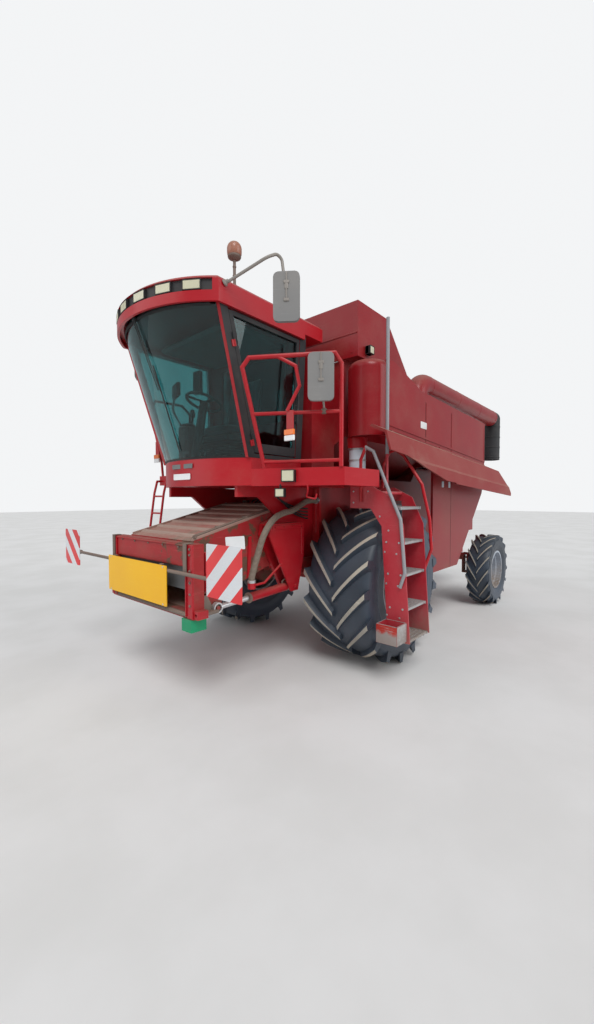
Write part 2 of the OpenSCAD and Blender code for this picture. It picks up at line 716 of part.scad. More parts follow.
// Windscreen, fixed side window and rear window
module cab_glass() {
    color(teal) placed() {
        intersection() {
            translate([glass_foot_cx, 0, cab_floor_z]) rotate([0, glass_lean, 0]) difference() {
                translate([0, 0, -600]) cylinder(r = glass_r, h = 2600, $fn = 128);
                translate([0, 0, -601]) cylinder(r = glass_r - glass_t, h = 2602, $fn = 128);
            }
            cross_profile(post_foot_x - 200, screen_head_cx + screen_r + 400)
                polygon([[-cab_half_w + post_t + 1, cab_floor_z + seat_gap],
                    [cab_half_w - post_t - 1, cab_floor_z + seat_gap],
                    [cab_top_half_w - post_t - 1, cab_top_z - seat_gap],
                    [-cab_top_half_w + post_t + 1, cab_top_z - seat_gap]]);
        }
        mirror([0, 1, 0]) in_side_plane(post_t / 2, glass_t) side_opening(seat_gap);
        cross_profile(cab_rear_x + 15, cab_rear_x + 15 + glass_t)
            translate(rear_glass[0] + [seat_gap, seat_gap])
                square(rear_glass[1] - rear_glass[0] - 2 * [seat_gap, seat_gap]);
    }
}

// Cab door, hinged along the front post
door_w = 45;
door_corner = [75, 9];
door_head = cab_side_h - header_h - door_top_gap;
door_front_x = post_foot_x + 40 - front_post_w - door_gap + post_run * door_head;
module door_frame() {
    color(black) placed() {
        in_side_plane(0, post_t - 5) difference() {
            intersection() {
                side_opening(door_gap);
                polygon([[cab_rear_x, 0], [door_front_x + 50, 0],
                    [door_front_x + 50, door_head - door_corner[1]], [door_front_x, door_head - door_corner[1]],
                    [door_front_x - door_corner[0], door_head], [cab_rear_x, door_head]]);
            }
            side_opening(door_gap + door_w);
        }
        on_door_axis() for (s = door_hinges) difference() {
            union() {
                translate([0, 0, s]) cylinder(r = door_barrel_r, h = door_barrel_h);
                translate([-40, 0, s]) cube([37, door_axis_out + 4, door_barrel_h]);
            }
            translate([0, 0, s - 1]) cylinder(r = hinge_pin_r + hinge_play, h = door_barrel_h + 2);
        }
    }
}
module door_glass() {
    color(teal) placed() in_side_plane(post_t / 2, glass_t) side_opening(door_gap + door_w + seat_gap);
}

// Seat with its console
module seat() {
    color(black) placed() {
        block([1130, -150, cab_floor_z], [1430, 150, cab_floor_z + 300]);
        block([1060, -270, cab_floor_z + 299], [1560, 270, cab_floor_z + 420]);
        translate([1100, 0, cab_floor_z + 410]) rotate([0, -8, 0]) block([-60, -250, 0], [50, 250, 620]);
        block([1080, -520, cab_floor_z], [1650, -330, cab_floor_z + 480]);
        block([1100, -340, cab_floor_z + 330], [1200, -260, cab_floor_z + 400]);
    }
}
module steering_column() {
    color(black) placed() {
        rod([1760, 0, cab_floor_z + 9], [1640, 0, cab_floor_z + 640], 90);
        translate([1640, 0, cab_floor_z + 640]) rotate([0, -20, 0]) {
            rotate_extrude() translate([190, 0]) circle(r = 15, $fn = 24);
            for (a = [90, 210, 330]) rotate([0, 0, a]) translate([0, -12, -8]) cube([190, 24, 16]);
        }
    }
}

// Left platform
function deck_points(e) = [[post_foot_x - 1.6 * e, cab_half_w + e], [1310 - e, deck_y - e],
    [700 + e, deck_y - e],
    [700 + e, 1290 - e], [150 + e, 1290 - e], [150 + e, tank_half_w + e],
    [tank_front_x + e, tank_half_w + e],
    [tank_front_x + e, plenum_half_w + e], [cab_rear_x + e, plenum_half_w + e],
    [cab_rear_x + e, cab_half_w + e]];
module platform() {
    color(paint) placed() difference() {
        plan(deck_z - deck_h, deck_z) polygon(deck_points(0));
        plan(deck_z - deck_h - 1, deck_z - 25) polygon(deck_points(22));
    }
}

// Guard rail at the front of the platform
rail_l = [[1572, 856, deck_z + 7], [1880, 890, 3050], [1850, 945, 3130]];
rail_r = [[1372, 1535, 3165], [1320, 1570, 3080], [1320, 1570, deck_z]];
mid_rail_z = 2660;
low_rail_z = 2230;
rail_brace = [[1699, 1131, 3145], [1590, 1268, 3054], [1568, 1294, 2880], [1637, 1207, mid_rail_z]];
function between(a, b, t) = a + (b - a) * t;
function on_rail(z) = [between(rail_l[0], rail_l[1], (z - rail_l[0][2]) / (rail_l[1][2] - rail_l[0][2])),
    [rail_r[2][0], rail_r[2][1], z]];
module guard_rail() {
    color(paint) placed() {
        bent_tube(concat(rail_l, rail_r), rail_d);
        rod(on_rail(mid_rail_z)[0], on_rail(mid_rail_z)[1], rail_d - 6);
        rod(on_rail(low_rail_z)[0], on_rail(low_rail_z)[1], rail_d - 6);
        bent_tube(rail_brace, rail_d - 8);
    }
}

// Mirrors on their arms
mirror_size = [45, 230, 420];
roof_arm = [[2030, 858, 3740], [1870, 1200, 3900], [1785, 1228, 3950], [1742, 1245, 3920],
    [1735, 1262, 3780]];
module mirror_head(at, turn) {
    translate(at) rotate([0, 0, turn]) translate(-mirror_size / 2) cube(mirror_size);
}
module mirrors() {
    color(rubber) placed() {
        both() {
            bent_tube(roof_arm, 26);
            mirror_head([1722, 1280, 3600], 36);
        }
        mirror_head([1500, 1480, 2940], 36);
        rod([1399, 1440, mid_rail_z + 19.1], [1490, 1470, 2940], 20);
    }
}

// Access ladder at the left
ladder_top_y = 1580;
ladder_foot_y = 1660;
ladder_top_z = 1620;
ladder_foot_z = 450;
// Side of the ladder with its arm under the deck, whose lower edge turns down at turn
module stringer(turn) {
    polygon([[1200, deck_z - deck_h], [1200, turn[1]], turn, [ladder_top_y, ladder_top_z - 20],
        [ladder_foot_y, ladder_foot_z],
        [ladder_foot_y + stringer_w, ladder_foot_z], [ladder_top_y + stringer_w, ladder_top_z],
        [1690, 1900], [1480, deck_z - deck_h]]);
}
tool_box = [[0, 1640, 470], [200, 1865, 656]];
module access_ladder() {
    color(paint) placed() {
        cross_profile(stringer_front_x, stringer_front_x + stringer_t) stringer([1450, 1780]);
        cross_profile(stringer_rear_x - stringer_t, stringer_rear_x) stringer([1570, 1860]);
        rod([stringer_rear_x - 1, 1560, 1940], [stringer_front_x + 1, 1560, 1940], rail_d);
        rod([pole[0], pole[1], 1940], [pole[0], pole[1], 2350], 30);
        translate([stringer_front_x + stringer_t - 1, 0, 0]) difference() {
            block(tool_box[0], tool_box[1]);
            block(tool_box[0] + [8, 8, 8], tool_box[1] + [-8, -8, 1]);
        }
    }
}
step_z = [470, 790, 1130, 1450, 1800];
step_t = 30;
module ladder_steps() {
    color(silver) placed() for (z = step_z) {
        climb = (z - ladder_foot_z) / (ladder_top_z - ladder_foot_z);
        y = ladder_foot_y + (ladder_top_y - ladder_foot_y) * climb;
        block([stringer_rear_x, y + 10, z - step_t], [stringer_front_x, y + stringer_w - 15, z]);
    }
}
ladder_rail_d = 34;
front_ladder_rail = [[1340, 1850], [1340, 2295], [1400, 2420], [1490, 2370], [1640, 2027], [1800, 1678],
    [1850, 1150], [1800, 1000]];
rear_ladder_rail = [[1310, 1900], [1326, 2276], [1400, 2408], [1475, 2430], [1573, 2364], [1790, 2039],
    [1880, 1664], [1903, 1345], [1800, 1042]];
module ladder_rails() {
    off = stringer_t + ladder_rail_d / 2 + seat_gap;
    bend = 1.015;
    front_x = stringer_front_x + off;
    rear_x = stringer_rear_x - off;
    color(paint) placed() {
        bent_tube([for (p = front_ladder_rail) [front_x, p[0], p[1]]], ladder_rail_d, bend);
        bent_tube([for (p = rear_ladder_rail) [rear_x, p[0], p[1]]], ladder_rail_d, bend);
        rod([pole[0], pole[1], 2350], [pole[0], pole[1], 3760], 36);
    }
}

// Right platform, its handrail and its steps
right_deck = [[1000, 1500], [-1150, -cab_half_w]];
right_rail = [[1470, -1120, deck_z - 20], [1480, -1130, 2340], [1620, -1150, 3020], [1560, -1140, 3120],
    [1180, -1125, 3120],
    [1060, -1120, 3020], [1060, -1120, deck_z - 20]];
module right_steps() {
    color(paint) placed() {
        block([right_deck[0][0], right_deck[1][0], deck_z - 120],
            [right_deck[0][1], right_deck[1][1], deck_z]);
        bent_tube(right_rail, 30);
        for (y = [-1110, -890]) bent_tube([[1440, y, deck_z - 60], [1560, y, deck_z - 70], [1600, y, 1950],
            [1680, y, 1400]], 28);
        for (z = [1480, 1700, 1910]) {
            x = 1600 + (1950 - z) * 80 / 550;
            rod([x, -1112, z], [x, -888, z], 22);
        }
    }
}

// Upright grain tube between the platform and the left nose
elevator_at = [400, 1150];
module elevator_tube() {
    color(silver) placed() {
        upright(elevator_at[0], elevator_at[1], deck_z, nose_z[0] - 20, 92);
        upright(elevator_at[0], elevator_at[1], 2440, nose_z[0], 108);
    }
}

// Steering rear axle
fork_z = [500, 870];
fork_t = 30;
fork_x = 60;
kingpin_r = 28;
knuckle_r = 55;
rear_disc_y = rear_y - 30;
arm_z = [700, 730];
tie_z = arm_z[1] + 26;
tie_d = 36;
module rear_axle() {
    fork_in = kingpin_y - 120;
    color(paint) placed() translate([-wheelbase, 0, 0]) {
        block([-fork_x, -fork_in, rear_beam_z - 60], [fork_x, fork_in, rear_beam_z + 60]);
        block([-hanger_half, -hanger_y + 2, rear_beam_z - 50],
            [hanger_half, hanger_y - 2, rear_beam_z + 130]);
        both() difference() {
            union() {
                block([-fork_x, fork_in - 1, fork_z[0]], [fork_x, fork_in + fork_t, fork_z[1]]);
                for (z = [fork_z[0], fork_z[1] - fork_t])
                    block([-fork_x, fork_in, z], [fork_x, kingpin_y + 55, z + fork_t]);
            }
            upright(0, kingpin_y, fork_z[0] - 1, fork_z[1] + 1, kingpin_r + run_gap);
        }
        difference() {
            union() {
                along_y(-steer_arm, tie_z, -300, 300, 45);
                both() block([-steer_arm, 140, tie_z - 20], [-fork_x + 1, 200, tie_z + 30]);
            }
            along_y(-steer_arm, tie_z, -301, 301, tie_d / 2 + run_gap);
        }
    }
}
module knuckle() {
    translate([-wheelbase, kingpin_y, 0]) {
        upright(0, 0, fork_z[0], fork_z[1], kingpin_r);
        upright(0, 0, fork_z[0] + fork_t + seat_gap, fork_z[1] - fork_t - seat_gap, knuckle_r);
        along_y(0, rear_r, 0, rear_disc_y - kingpin_y - hub_gap, 42);
        along_y(0, rear_r, rear_disc_y - kingpin_y - 60, rear_disc_y - kingpin_y - hub_gap, 110);
        block([-steer_arm, -25, arm_z[0]], [0, 25, arm_z[1]]);
        upright(-steer_arm, 0, arm_z[0], arm_z[1], 42);
    }
}
module knuckle_left() { color(paint) placed() knuckle(); }
module knuckle_right() { color(paint) placed() mirror([0, 1, 0]) knuckle(); }
module steering_rod() {
    color(silver) placed() translate([-wheelbase - steer_arm, 0, 0]) {
        along_y(0, tie_z, -kingpin_y, kingpin_y, tie_d / 2);
        both() upright(0, kingpin_y, arm_z[1] + seat_gap, tie_z + tie_d / 2, 38);
    }
}

// Wheels, drawn round the Z axis and turned to lie on their axle
module wheel_place(x, y, r) { translate([x, y, r]) rotate([-90, 0, 0]) rotate([0, 0, 90]) children(); }
lug_sweep = 27;
// Stations along a lug: place across the tyre, turn round it, top and foot as parts of the radius
lug_stations = [[0.02, 0, 1, 0.905], [0.27, 0.5, 1, 0.9], [0.495, 1, 0.985, 0.86]];
module lug(r, w, thick, side) {
    rows = [for (s = lug_stations) let (a = -s[1] * lug_sweep, z = s[0] * w * side)
        for (k = [[r * s[3], -0.62], [r * s[2], -0.38], [r * s[2], 0.38], [r * s[3], 0.62]])
            [k[0] * cos(a) - k[1] * thick * sin(a), k[0] * sin(a) + k[1] * thick * cos(a), z]];
    walls = [for (i = [0, 4]) for (j = [0 : 3]) for (upper = [0, 1]) let (n = (j + 1) % 4)
        upper == 0 ? [i + j, i + n, i + 4 + n] : [i + j, i + 4 + n, i + 4 + j]];
    faces = concat([[2, 1, 0], [3, 2, 0]], walls, [[8, 9, 10], [8, 10, 11]]);
    polyhedron(rows, side < 0 ? faces : [for (f = faces) [f[2], f[1], f[0]]]);
}
module tyre(r, w, rim_r, deep, lugs, thick) {
    sides = 40;
    bead = (rim_r + seat_gap) / cos(180 / sides);
    rotate_extrude($fn = sides) polygon([[bead, -0.4 * w], [bead + 26, -0.4 * w], [bead + 60, -0.46 * w],
        [(rim_r + r) / 2 + 20, -0.5 * w],
        [r - deep - 45, -0.47 * w], [r - deep - 12, -0.36 * w], [r - deep, 0], [r - deep - 12, 0.36 * w],
        [r - deep - 45, 0.47 * w],
        [(rim_r + r) / 2 + 20, 0.5 * w], [bead + 60, 0.46 * w], [bead + 26, 0.4 * w], [bead, 0.4 * w]]);
    for (i = [0 : lugs - 1]) {
        rotate([0, 0, i * 360 / lugs]) lug(r, w, thick, 1);
        rotate([0, 0, (i + 0.5) * 360 / lugs]) lug(r, w, thick, -1);
    }
}
module rim(w, rim_r, disc, hub_r) {
    t = 10;
    rotate_extrude($fn = 96) polygon([[rim_r - t, -0.4 * w - 14], [rim_r + 22, -0.4 * w - 14],
        [rim_r + 22, -0.4 * w - seat_gap],
        [rim_r, -0.4 * w - seat_gap], [rim_r, -0.22 * w], [rim_r - 30, -0.17 * w], [rim_r - 30, 0.17 * w],
        [rim_r, 0.22 * w],
        [rim_r, 0.4 * w + seat_gap], [rim_r + 22, 0.4 * w + seat_gap], [rim_r + 22, 0.4 * w + 14],
        [rim_r - t, 0.4 * w + 14],
        [rim_r - t, 0.22 * w + 5], [rim_r - 40, 0.17 * w + 5], [rim_r - 40, -0.17 * w - 5],
        [rim_r - t, -0.22 * w - 5]]);
    translate([0, 0, disc]) cylinder(r = rim_r - 35, h = 14);
    translate([0, 0, disc]) cylinder(r = hub_r, h = 50);
}
front_lug_w = 75;
rear_lug_w = 50;
front_hub_r = 140;
rear_hub_r = 90;
module front_tyre() {
    wheel_place(0, front_y, front_r) tyre(front_r, front_w, front_rim_r, front_lug_h, front_lugs, front_lug_w);
}
module rear_tyre() {
    wheel_place(-wheelbase, rear_y, rear_r) tyre(rear_r, rear_w, rear_rim_r, rear_lug_h, rear_lugs, rear_lug_w);
}
module front_rim() {
    wheel_place(0, front_y, front_r) rim(front_w, front_rim_r, front_disc_y - front_y, front_hub_r);
}
module rear_rim() {
    wheel_place(-wheelbase, rear_y, rear_r) rim(rear_w, rear_rim_r, rear_disc_y - rear_y, rear_hub_r);
}
module tyre_front_left() { color(rubber) placed() front_tyre(); }
module tyre_front_right() { color(rubber) placed() mirror([0, 1, 0]) front_tyre(); }
module rim_front_left() { color(silver) placed() front_rim(); }
module rim_front_right() { color(silver) placed() mirror([0, 1, 0]) front_rim(); }
module tyre_rear_left() { color(rubber) placed() rear_tyre(); }
module tyre_rear_right() { color(rubber) placed() mirror([0, 1, 0]) rear_tyre(); }
module rim_rear_left() { color(silver) placed() rear_rim(); }
module rim_rear_right() { color(silver) placed() mirror([0, 1, 0]) rear_rim(); }

// Straw spreader discs under the hood's rear end
module spreader() {
    bats = 4;
    color(paint) placed() translate([spreader_x, spreader_y, 0]) difference() {
        union() {
            upright(0, 0, 925, 935, 250);
            upright(0, 0, 925, beam_z - seat_gap, 45);
            for (i = [0 : bats - 1]) rotate([0, 0, i * 360 / bats]) block([60, -6, 860], [245, 6, 926]);
        }
        upright(0, 0, spreader_pin_z - 1, beam_z + 1, spreader_pin_r + run_gap);
    }
}
module spreader_left() { spreader(); }
module spreader_right() { mirror([0, 1, 0]) spreader(); }

// Feeder house
front_rear_x = feeder_x - face_depth;
tunnel_top_z = 1500;
tunnel_low_z = 862;
lug_y = [feeder_half_w - 10, 632];
eye_pin_r = 18;
module tunnel_outline(t, front_x) {
    translate([pivot_x, pivot_z]) circle(r = feeder_end_r - t, $fn = 96);
    polygon([[pivot_x, pivot_z + feeder_end_r - t], [front_x, tunnel_top_z - t],
        [front_x, tunnel_low_z + t], [pivot_x, pivot_z - feeder_end_r + t]]);
}
module feeder_house() {
    in_y = feeder_half_w - feeder_wall;
    color(paint) placed() {
        difference() {
            side_profile(-feeder_half_w, feeder_half_w) tunnel_outline(0, front_rear_x - seat_gap);
            side_profile(-in_y, in_y) tunnel_outline(feeder_wall, front_rear_x + 1);
        }
        both() {
            along_y(pivot_x, pivot_z, feeder_half_w - 1, cheek_y[1] - 2, stub_r);
            block([lift_eye_x - 80, lug_y[0], lift_eye_z - 45],
                [lift_eye_x + 80, lug_y[1], lift_eye_z + 130]);
            along_y(lift_eye_x, lift_eye_z, lug_y[1] - 1, lift_y + 22, eye_pin_r);
        }
    }
}

// Front frame that carries the header, with the throat in it and the lock lugs at its lower corners
throat_half_w = face_half_w - 110;
throat_z = [feeder_low_z + 45, feeder_top_z - 200];
lock_w = 60;
lock_h = 70;
lock_y = face_half_w + lock_w / 2;
lock_z = 885;
lock_r = 15;
module header_frame() {
    color(paint) placed() cross_profile(front_rear_x, feeder_x) difference() {
        translate([-face_half_w, feeder_low_z]) square([2 * face_half_w, feeder_top_z - feeder_low_z]);
        translate([-throat_half_w, throat_z[0]]) square([2 * throat_half_w, throat_z[1] - throat_z[0]]);
    }
}
module header_locks() {
    color(paint) placed() both() difference() {
        block([front_rear_x, face_half_w + seat_gap, lock_z - lock_h / 2],
            [feeder_x, face_half_w + lock_w, lock_z + lock_h / 2]);
        translate([front_rear_x - 1, lock_y, lock_z]) rotate([0, 90, 0])
            cylinder(r = lock_r, h = face_depth + 2);
    }
}

// Slatted conveyor in the feeder house
drums = [[pivot_x + 40, pivot_z, 150], [2020, 1150, 130]];
strand_y = [-420, 0, 420];
strand_w = 40;
chain_t = 22;
module loop_outline(grow) {
    for (d = drums) translate([d[0], d[1]]) circle(r = d[2] + grow, $fn = 64);
    polygon([[drums[0][0], drums[0][1] + drums[0][2] + grow],
        [drums[1][0], drums[1][1] + drums[1][2] + grow],
        [drums[1][0], drums[1][1] - drums[1][2] - grow], [drums[0][0], drums[0][1] - drums[0][2] - grow]]);
}
module feeder_chain() {
    color(silver) placed() {
        for (y = strand_y) side_profile(y - strand_w / 2, y + strand_w / 2) difference() {
            loop_outline(chain_t);
            loop_outline(0);
        }
        for (d = drums) along_y(d[0], d[1], -480, 480, d[2] + 1);
        for (d = drums) along_y(d[0], d[1], -feeder_half_w + feeder_wall, feeder_half_w - feeder_wall, 30);
        for (i = [0 : 7]) for (s = [1, -1]) {
            t = (i + 0.5) / 8;
            x = drums[0][0] + (drums[1][0] - drums[0][0]) * t;
            out = drums[0][2] + (drums[1][2] - drums[0][2]) * t + chain_t;
            z = drums[0][1] + (drums[1][1] - drums[0][1]) * t + s * out;
            translate([x, 0, z]) rotate([0, 19, 0]) cube([26, 980, 34], center = true);
        }
    }
}
module throat_flap() {
    color(rubber) placed() block([feeder_x - 40, -throat_half_w + 2, 1080],
        [feeder_x - 28, throat_half_w - 2, throat_z[1] - seat_gap]);
}

// Warning boards on their rod in front of the feeder house
board_x = feeder_x + 60;
sign = [[-720, 415], [915, 1285]];
left_board = [[1000, 1423], [1105, 1528]];
right_board = [[-1920, -1497], [1080, 1503]];
board_t = 8;
rod_z = 1240;
// Hooks that hang the rod on the front frame's top edge, clear of its face
hook_x = [feeder_x - 50, board_x - 30];
hook_y = [-680, 640];
module marker_boards() {
    color("gold") placed() {
        block([board_x, sign[0][0], sign[1][0]], [board_x + board_t, sign[0][1], sign[1][1]]);
        rod([board_x - 16, right_board[0][1] - 60, rod_z], [board_x - 16, left_board[0][0] + 60, rod_z],
            34);
        block([board_x - 2, left_board[0][0], left_board[1][0]],
            [board_x + board_t - 2, left_board[0][1], left_board[1][1]]);
        block([board_x - 2, right_board[0][0], right_board[1][0]],
            [board_x + board_t - 2, right_board[0][1], right_board[1][1]]);
        for (y = hook_y) {
            block([hook_x[0], y - 25, feeder_top_z + seat_gap], [hook_x[1], y + 25, feeder_top_z + 10]);
            block([hook_x[1] - 12, y - 25, rod_z - 25], [hook_x[1], y + 25, feeder_top_z + 10]);
        }
    }
}
module stand_block() {
    color("seagreen") placed() block([feeder_x - 140, 580, feeder_low_z - 110],
        [feeder_x + 20, 720, feeder_low_z]);
}

// Lift cylinders between the brackets and the feeder house
lift_angle = atan((lift_base_z - lift_eye_z) / (lift_eye_x - lift_base_x));
lift_len = sqrt(pow(lift_eye_x - lift_base_x, 2) + pow(lift_eye_z - lift_base_z, 2));
barrel_len = 620;
eye_r = 50;
eye_bore_r = 36;
module on_lift_axis() {
    translate([lift_base_x, lift_y, lift_base_z]) rotate([0, lift_angle, 0]) children();
}
module lift_barrels() {
    color(paint) placed() both() on_lift_axis() difference() {
        union() {
            translate([32, 0, 0]) rotate([0, 90, 0]) cylinder(d = barrel_d, h = barrel_len - 32);
            along_y(0, 0, -38, 38, eye_r);
        }
        along_y(0, 0, -60, 60, lift_pin_r + run_gap);
        translate([80, 0, 0]) rotate([0, 90, 0]) cylinder(d = lift_rod_d + 2 * run_gap, h = barrel_len);
    }
}
module lift_rods() {
    color(silver) placed() both() on_lift_axis() difference() {
        union() {
            translate([barrel_len - 260, 0, 0]) rotate([0, 90, 0])
                cylinder(d = lift_rod_d, h = lift_len - barrel_len + 260 - eye_bore_r);
            along_y(lift_len, 0, -22, 22, eye_r);
        }
        along_y(lift_len, 0, -60, 60, eye_bore_r);
    }
}

// Unloading tube on its swivel, and its rubber boot
elbow_r = 260;
boot_x = tube_rear_x - 160;
boot_low_z = 2650;
module unloading_tube() {
    color(paint) placed() {
        upright(swivel_x, swivel_y, unloader_base_z[1] + seat_gap, tube_z - elbow_r, tube_d / 2);
        translate([swivel_x - elbow_r, swivel_y, tube_z - elbow_r]) rotate([90, 0, 0])
            rotate_extrude(angle = 90)
            translate([elbow_r, 0]) circle(d = tube_d);
        translate([swivel_x - elbow_r, swivel_y, tube_z]) rotate([0, -90, 0])
            cylinder(d = tube_d, h = swivel_x - elbow_r - tube_rear_x);
    }
}
module unloading_boot() {
    color(rubber) placed() difference() {
        union() {
            translate([tube_rear_x, swivel_y, tube_z]) rotate([0, -90, 0])
                cylinder(d = tube_d, h = tube_rear_x - boot_x);
            translate([boot_x, swivel_y, tube_z]) sphere(d = tube_d);
            upright(boot_x, swivel_y, boot_low_z, tube_z, tube_d / 2);
        }
        upright(boot_x, swivel_y, boot_low_z - 1, tube_z - 100, tube_d / 2 - 12);
    }
}

// Hose bundle from the bulkhead over the lift bracket to its parked coupler
hose_d = 64;
hose_route = [[body_front_x + wall_t + seat_gap, 660, 1862], [600, 660, 1862], [720, 676, 1850],
    [850, 700, 1815], [980, 735, 1775], [1100, 765, 1750],
    [1220, 785, 1735], [1330, 793, 1705], [1420, 796, 1650], [1490, 796, 1575], [1545, 796, 1490],
    [1585, 796, 1400],
    [1620, 795, 1310], [1655, 792, 1220], [1680, 790, 1140], [1685, 790, 1120], [1685, 790, coupler_z[1]]];
hose_sides = 10;
module supply_hose() {
    n = len(hose_route);
    ring = [for (i = [0 : n - 1]) let (d = hose_route[min(i + 1, n - 1)] - hose_route[max(i - 1, 0)],
        t = d / norm(d),
        u = cross([0, 1, 0], t) / norm(cross([0, 1, 0], t)), v = cross(t, u))
        for (j = [0 : hose_sides - 1]) let (a = j * 360 / hose_sides)
            hose_route[i] + hose_d / 2 * (u * cos(a) + v * sin(a))];
    wall = [for (i = [0 : n - 2]) for (j = [0 : hose_sides - 1]) let (k = (j + 1) % hose_sides)
        [i * hose_sides + j, (i + 1) * hose_sides + j, (i + 1) * hose_sides + k, i * hose_sides + k]];
    ends = [[for (j = [0 : hose_sides - 1]) j],
        [for (j = [hose_sides - 1 : -1 : 0]) (n - 1) * hose_sides + j]];
    color(black) placed() polyhedron(ring, concat(wall, ends));
}

main_frame();
outriggers();
front_axle();
threshing_body();
front_bulkhead();
grain_tank();
tank_extension();
side_panels();
wheel_arches();
lower_shields();
straw_hood();
engine();
engine_cover();
fuel_tank();
cab_shell();
cab_roof();
lamps();
cab_glass();
seat();
steering_column();
platform();
guard_rail();
mirrors();
access_ladder();
ladder_steps();
ladder_rails();
right_steps();
elevator_tube();
rear_axle();
supply_hose();
feeder_house();
header_frame();
header_locks();
feeder_chain();
throat_flap();
marker_boards();
stand_block();
lift_barrels();
lift_rods();
door_frame();
door_glass();
unloading_tube();
unloading_boot();
flare_left();
flare_right();
air_screen();
spreader_left();
spreader_right();
tyre_front_left();
rim_front_left();
tyre_front_right();
rim_front_right();
knuckle_left();
knuckle_right();
steering_rod();
tyre_rear_left();
rim_rear_left();
tyre_rear_right();
rim_rear_right();
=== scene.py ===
"""Looks of the combine harvester: finishes, tyres, lamps, steps, trim and the studio."""

import math
from dataclasses import dataclass, replace
from types import SimpleNamespace

import bmesh
import bpy
from bpy.props import FloatProperty, FloatVectorProperty, IntProperty, PointerProperty
from mathutils import Matrix, Vector


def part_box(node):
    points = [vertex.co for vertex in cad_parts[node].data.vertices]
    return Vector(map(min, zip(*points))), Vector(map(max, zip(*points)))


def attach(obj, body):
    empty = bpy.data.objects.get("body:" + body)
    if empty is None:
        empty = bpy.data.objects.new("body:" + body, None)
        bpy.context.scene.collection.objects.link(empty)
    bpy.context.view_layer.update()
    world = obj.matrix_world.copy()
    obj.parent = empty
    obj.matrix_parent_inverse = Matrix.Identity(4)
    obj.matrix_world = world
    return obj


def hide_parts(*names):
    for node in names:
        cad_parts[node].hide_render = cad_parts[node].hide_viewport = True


bl_info = {
    "name": "Combine Harvester Looks",
    "version": (1, 0, 0),
    "blender": (4, 5, 0),
    "location": "3D View > Sidebar > Combine",
    "description": "Finishes, tyres, lamps, steps, trim and studio of a combine harvester",
    "category": "Object",
}

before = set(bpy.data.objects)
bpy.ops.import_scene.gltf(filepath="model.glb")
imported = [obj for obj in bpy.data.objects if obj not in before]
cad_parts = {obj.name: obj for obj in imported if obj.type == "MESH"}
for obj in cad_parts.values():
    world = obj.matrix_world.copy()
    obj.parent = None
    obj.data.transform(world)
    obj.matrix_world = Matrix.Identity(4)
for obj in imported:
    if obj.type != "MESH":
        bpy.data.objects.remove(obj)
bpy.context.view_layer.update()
# Shift of the drawing along X, read from the green block whose rear face is at 2160 mm
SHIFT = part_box("stand_block")[0].x - 2.160

# The drawing's own sizes that the trim follows, in millimetres
CAB_FLOOR = 2280
CAB_HALF = 745
CAB_LEAN = math.radians(3.2)
CAB_SIDE = 1345
CAB_TOP = CAB_FLOOR + CAB_SIDE * math.cos(CAB_LEAN)
CAB_TOP_HALF = CAB_HALF + CAB_SIDE * math.sin(CAB_LEAN)
CAB_REAR = 910
DOOR_HANDLE_X = CAB_REAR + 118
POST_FOOT = 1640
POST_HEAD = 2050
SCREEN_R = 1160
GLASS_R = 1.048 * SCREEN_R
GLASS_LEAN = math.radians(19.56)
SCREEN_FOOT_CX = POST_FOOT - math.sqrt(SCREEN_R**2 - CAB_HALF**2)
SCREEN_HEAD_CX = POST_HEAD - math.sqrt(SCREEN_R**2 - CAB_TOP_HALF**2)
ROOF_R = SCREEN_R + 60
DECK = 2170
BODY_SIDE = 1499
AIR_SCREEN = (-2560, -1400, 2790)
UNLOADER_Y = 1200
BEACON = (1750, 640)

# Where the photograph was taken from, and its lens
VIEW_PLACE = (4329, 3667, 1890)
VIEW_AHEAD = (-0.7539, -0.6560, -0.0344)
VIEW_LENS = 14.35

X, Y, Z = (1, 0, 0), (0, 1, 0), (0, 0, 1)
HANDS = (("left", 1), ("right", -1))
SIDES = (1, -1)


def at(x, y, z):
    """A place given in the drawing's millimetres, in the model's metres."""
    return Vector((x / 1000 + SHIFT, y / 1000, z / 1000))


def placed(x, y, z, degrees=0.0, axis="Z"):
    """The turn and shift that bring a solid to its place."""
    return Matrix.Translation((x, y, z)) @ Matrix.Rotation(math.radians(degrees), 4, axis)


def around(count, r, shift=0.0):
    """Both coordinates of places on a circle; shift is a part of one step."""
    turns = [2 * math.pi * (k + shift) / count for k in range(count)]
    return [(r * math.cos(a), r * math.sin(a)) for a in turns]


def bent(points, steps):
    """Points of a smooth line through the given ones."""
    rows = [Vector(p) for p in points]
    ends = [2 * rows[0] - rows[1]] + rows + [2 * rows[-1] - rows[-2]]
    line = []
    for i in range(1, len(ends) - 2):
        p0, p1, p2, p3 = ends[i - 1 : i + 3]
        for k in range(steps):
            t = k / steps
            line.append(0.5 * (2 * p1 + (p2 - p0) * t + (2 * p0 - 5 * p1 + 4 * p2 - p3) * t * t
                               + (3 * p1 - p0 - 3 * p2 + p3) * t**3))
    return line + [rows[-1]]


def rounded(points, radius, steps=5):
    """Straight runs through the points with each corner rounded."""
    rows = [Vector(p) for p in points]
    line = [rows[0]]
    for a, b, c in zip(rows, rows[1:], rows[2:]):
        r = min(radius, (b - a).length * 0.45, (c - b).length * 0.45)
        start = b + (a - b).normalized() * r
        stop = b + (c - b).normalized() * r
        for k in range(steps + 1):
            t = k / steps
            line.append(start * (1 - t) ** 2 + b * 2 * t * (1 - t) + stop * t * t)
    return line + [rows[-1]]


def on_line(start, end, u):
    """The second coordinate where the line through two places has u as its first."""
    return start[1] + (end[1] - start[1]) * (u - start[0]) / (end[0] - start[0])


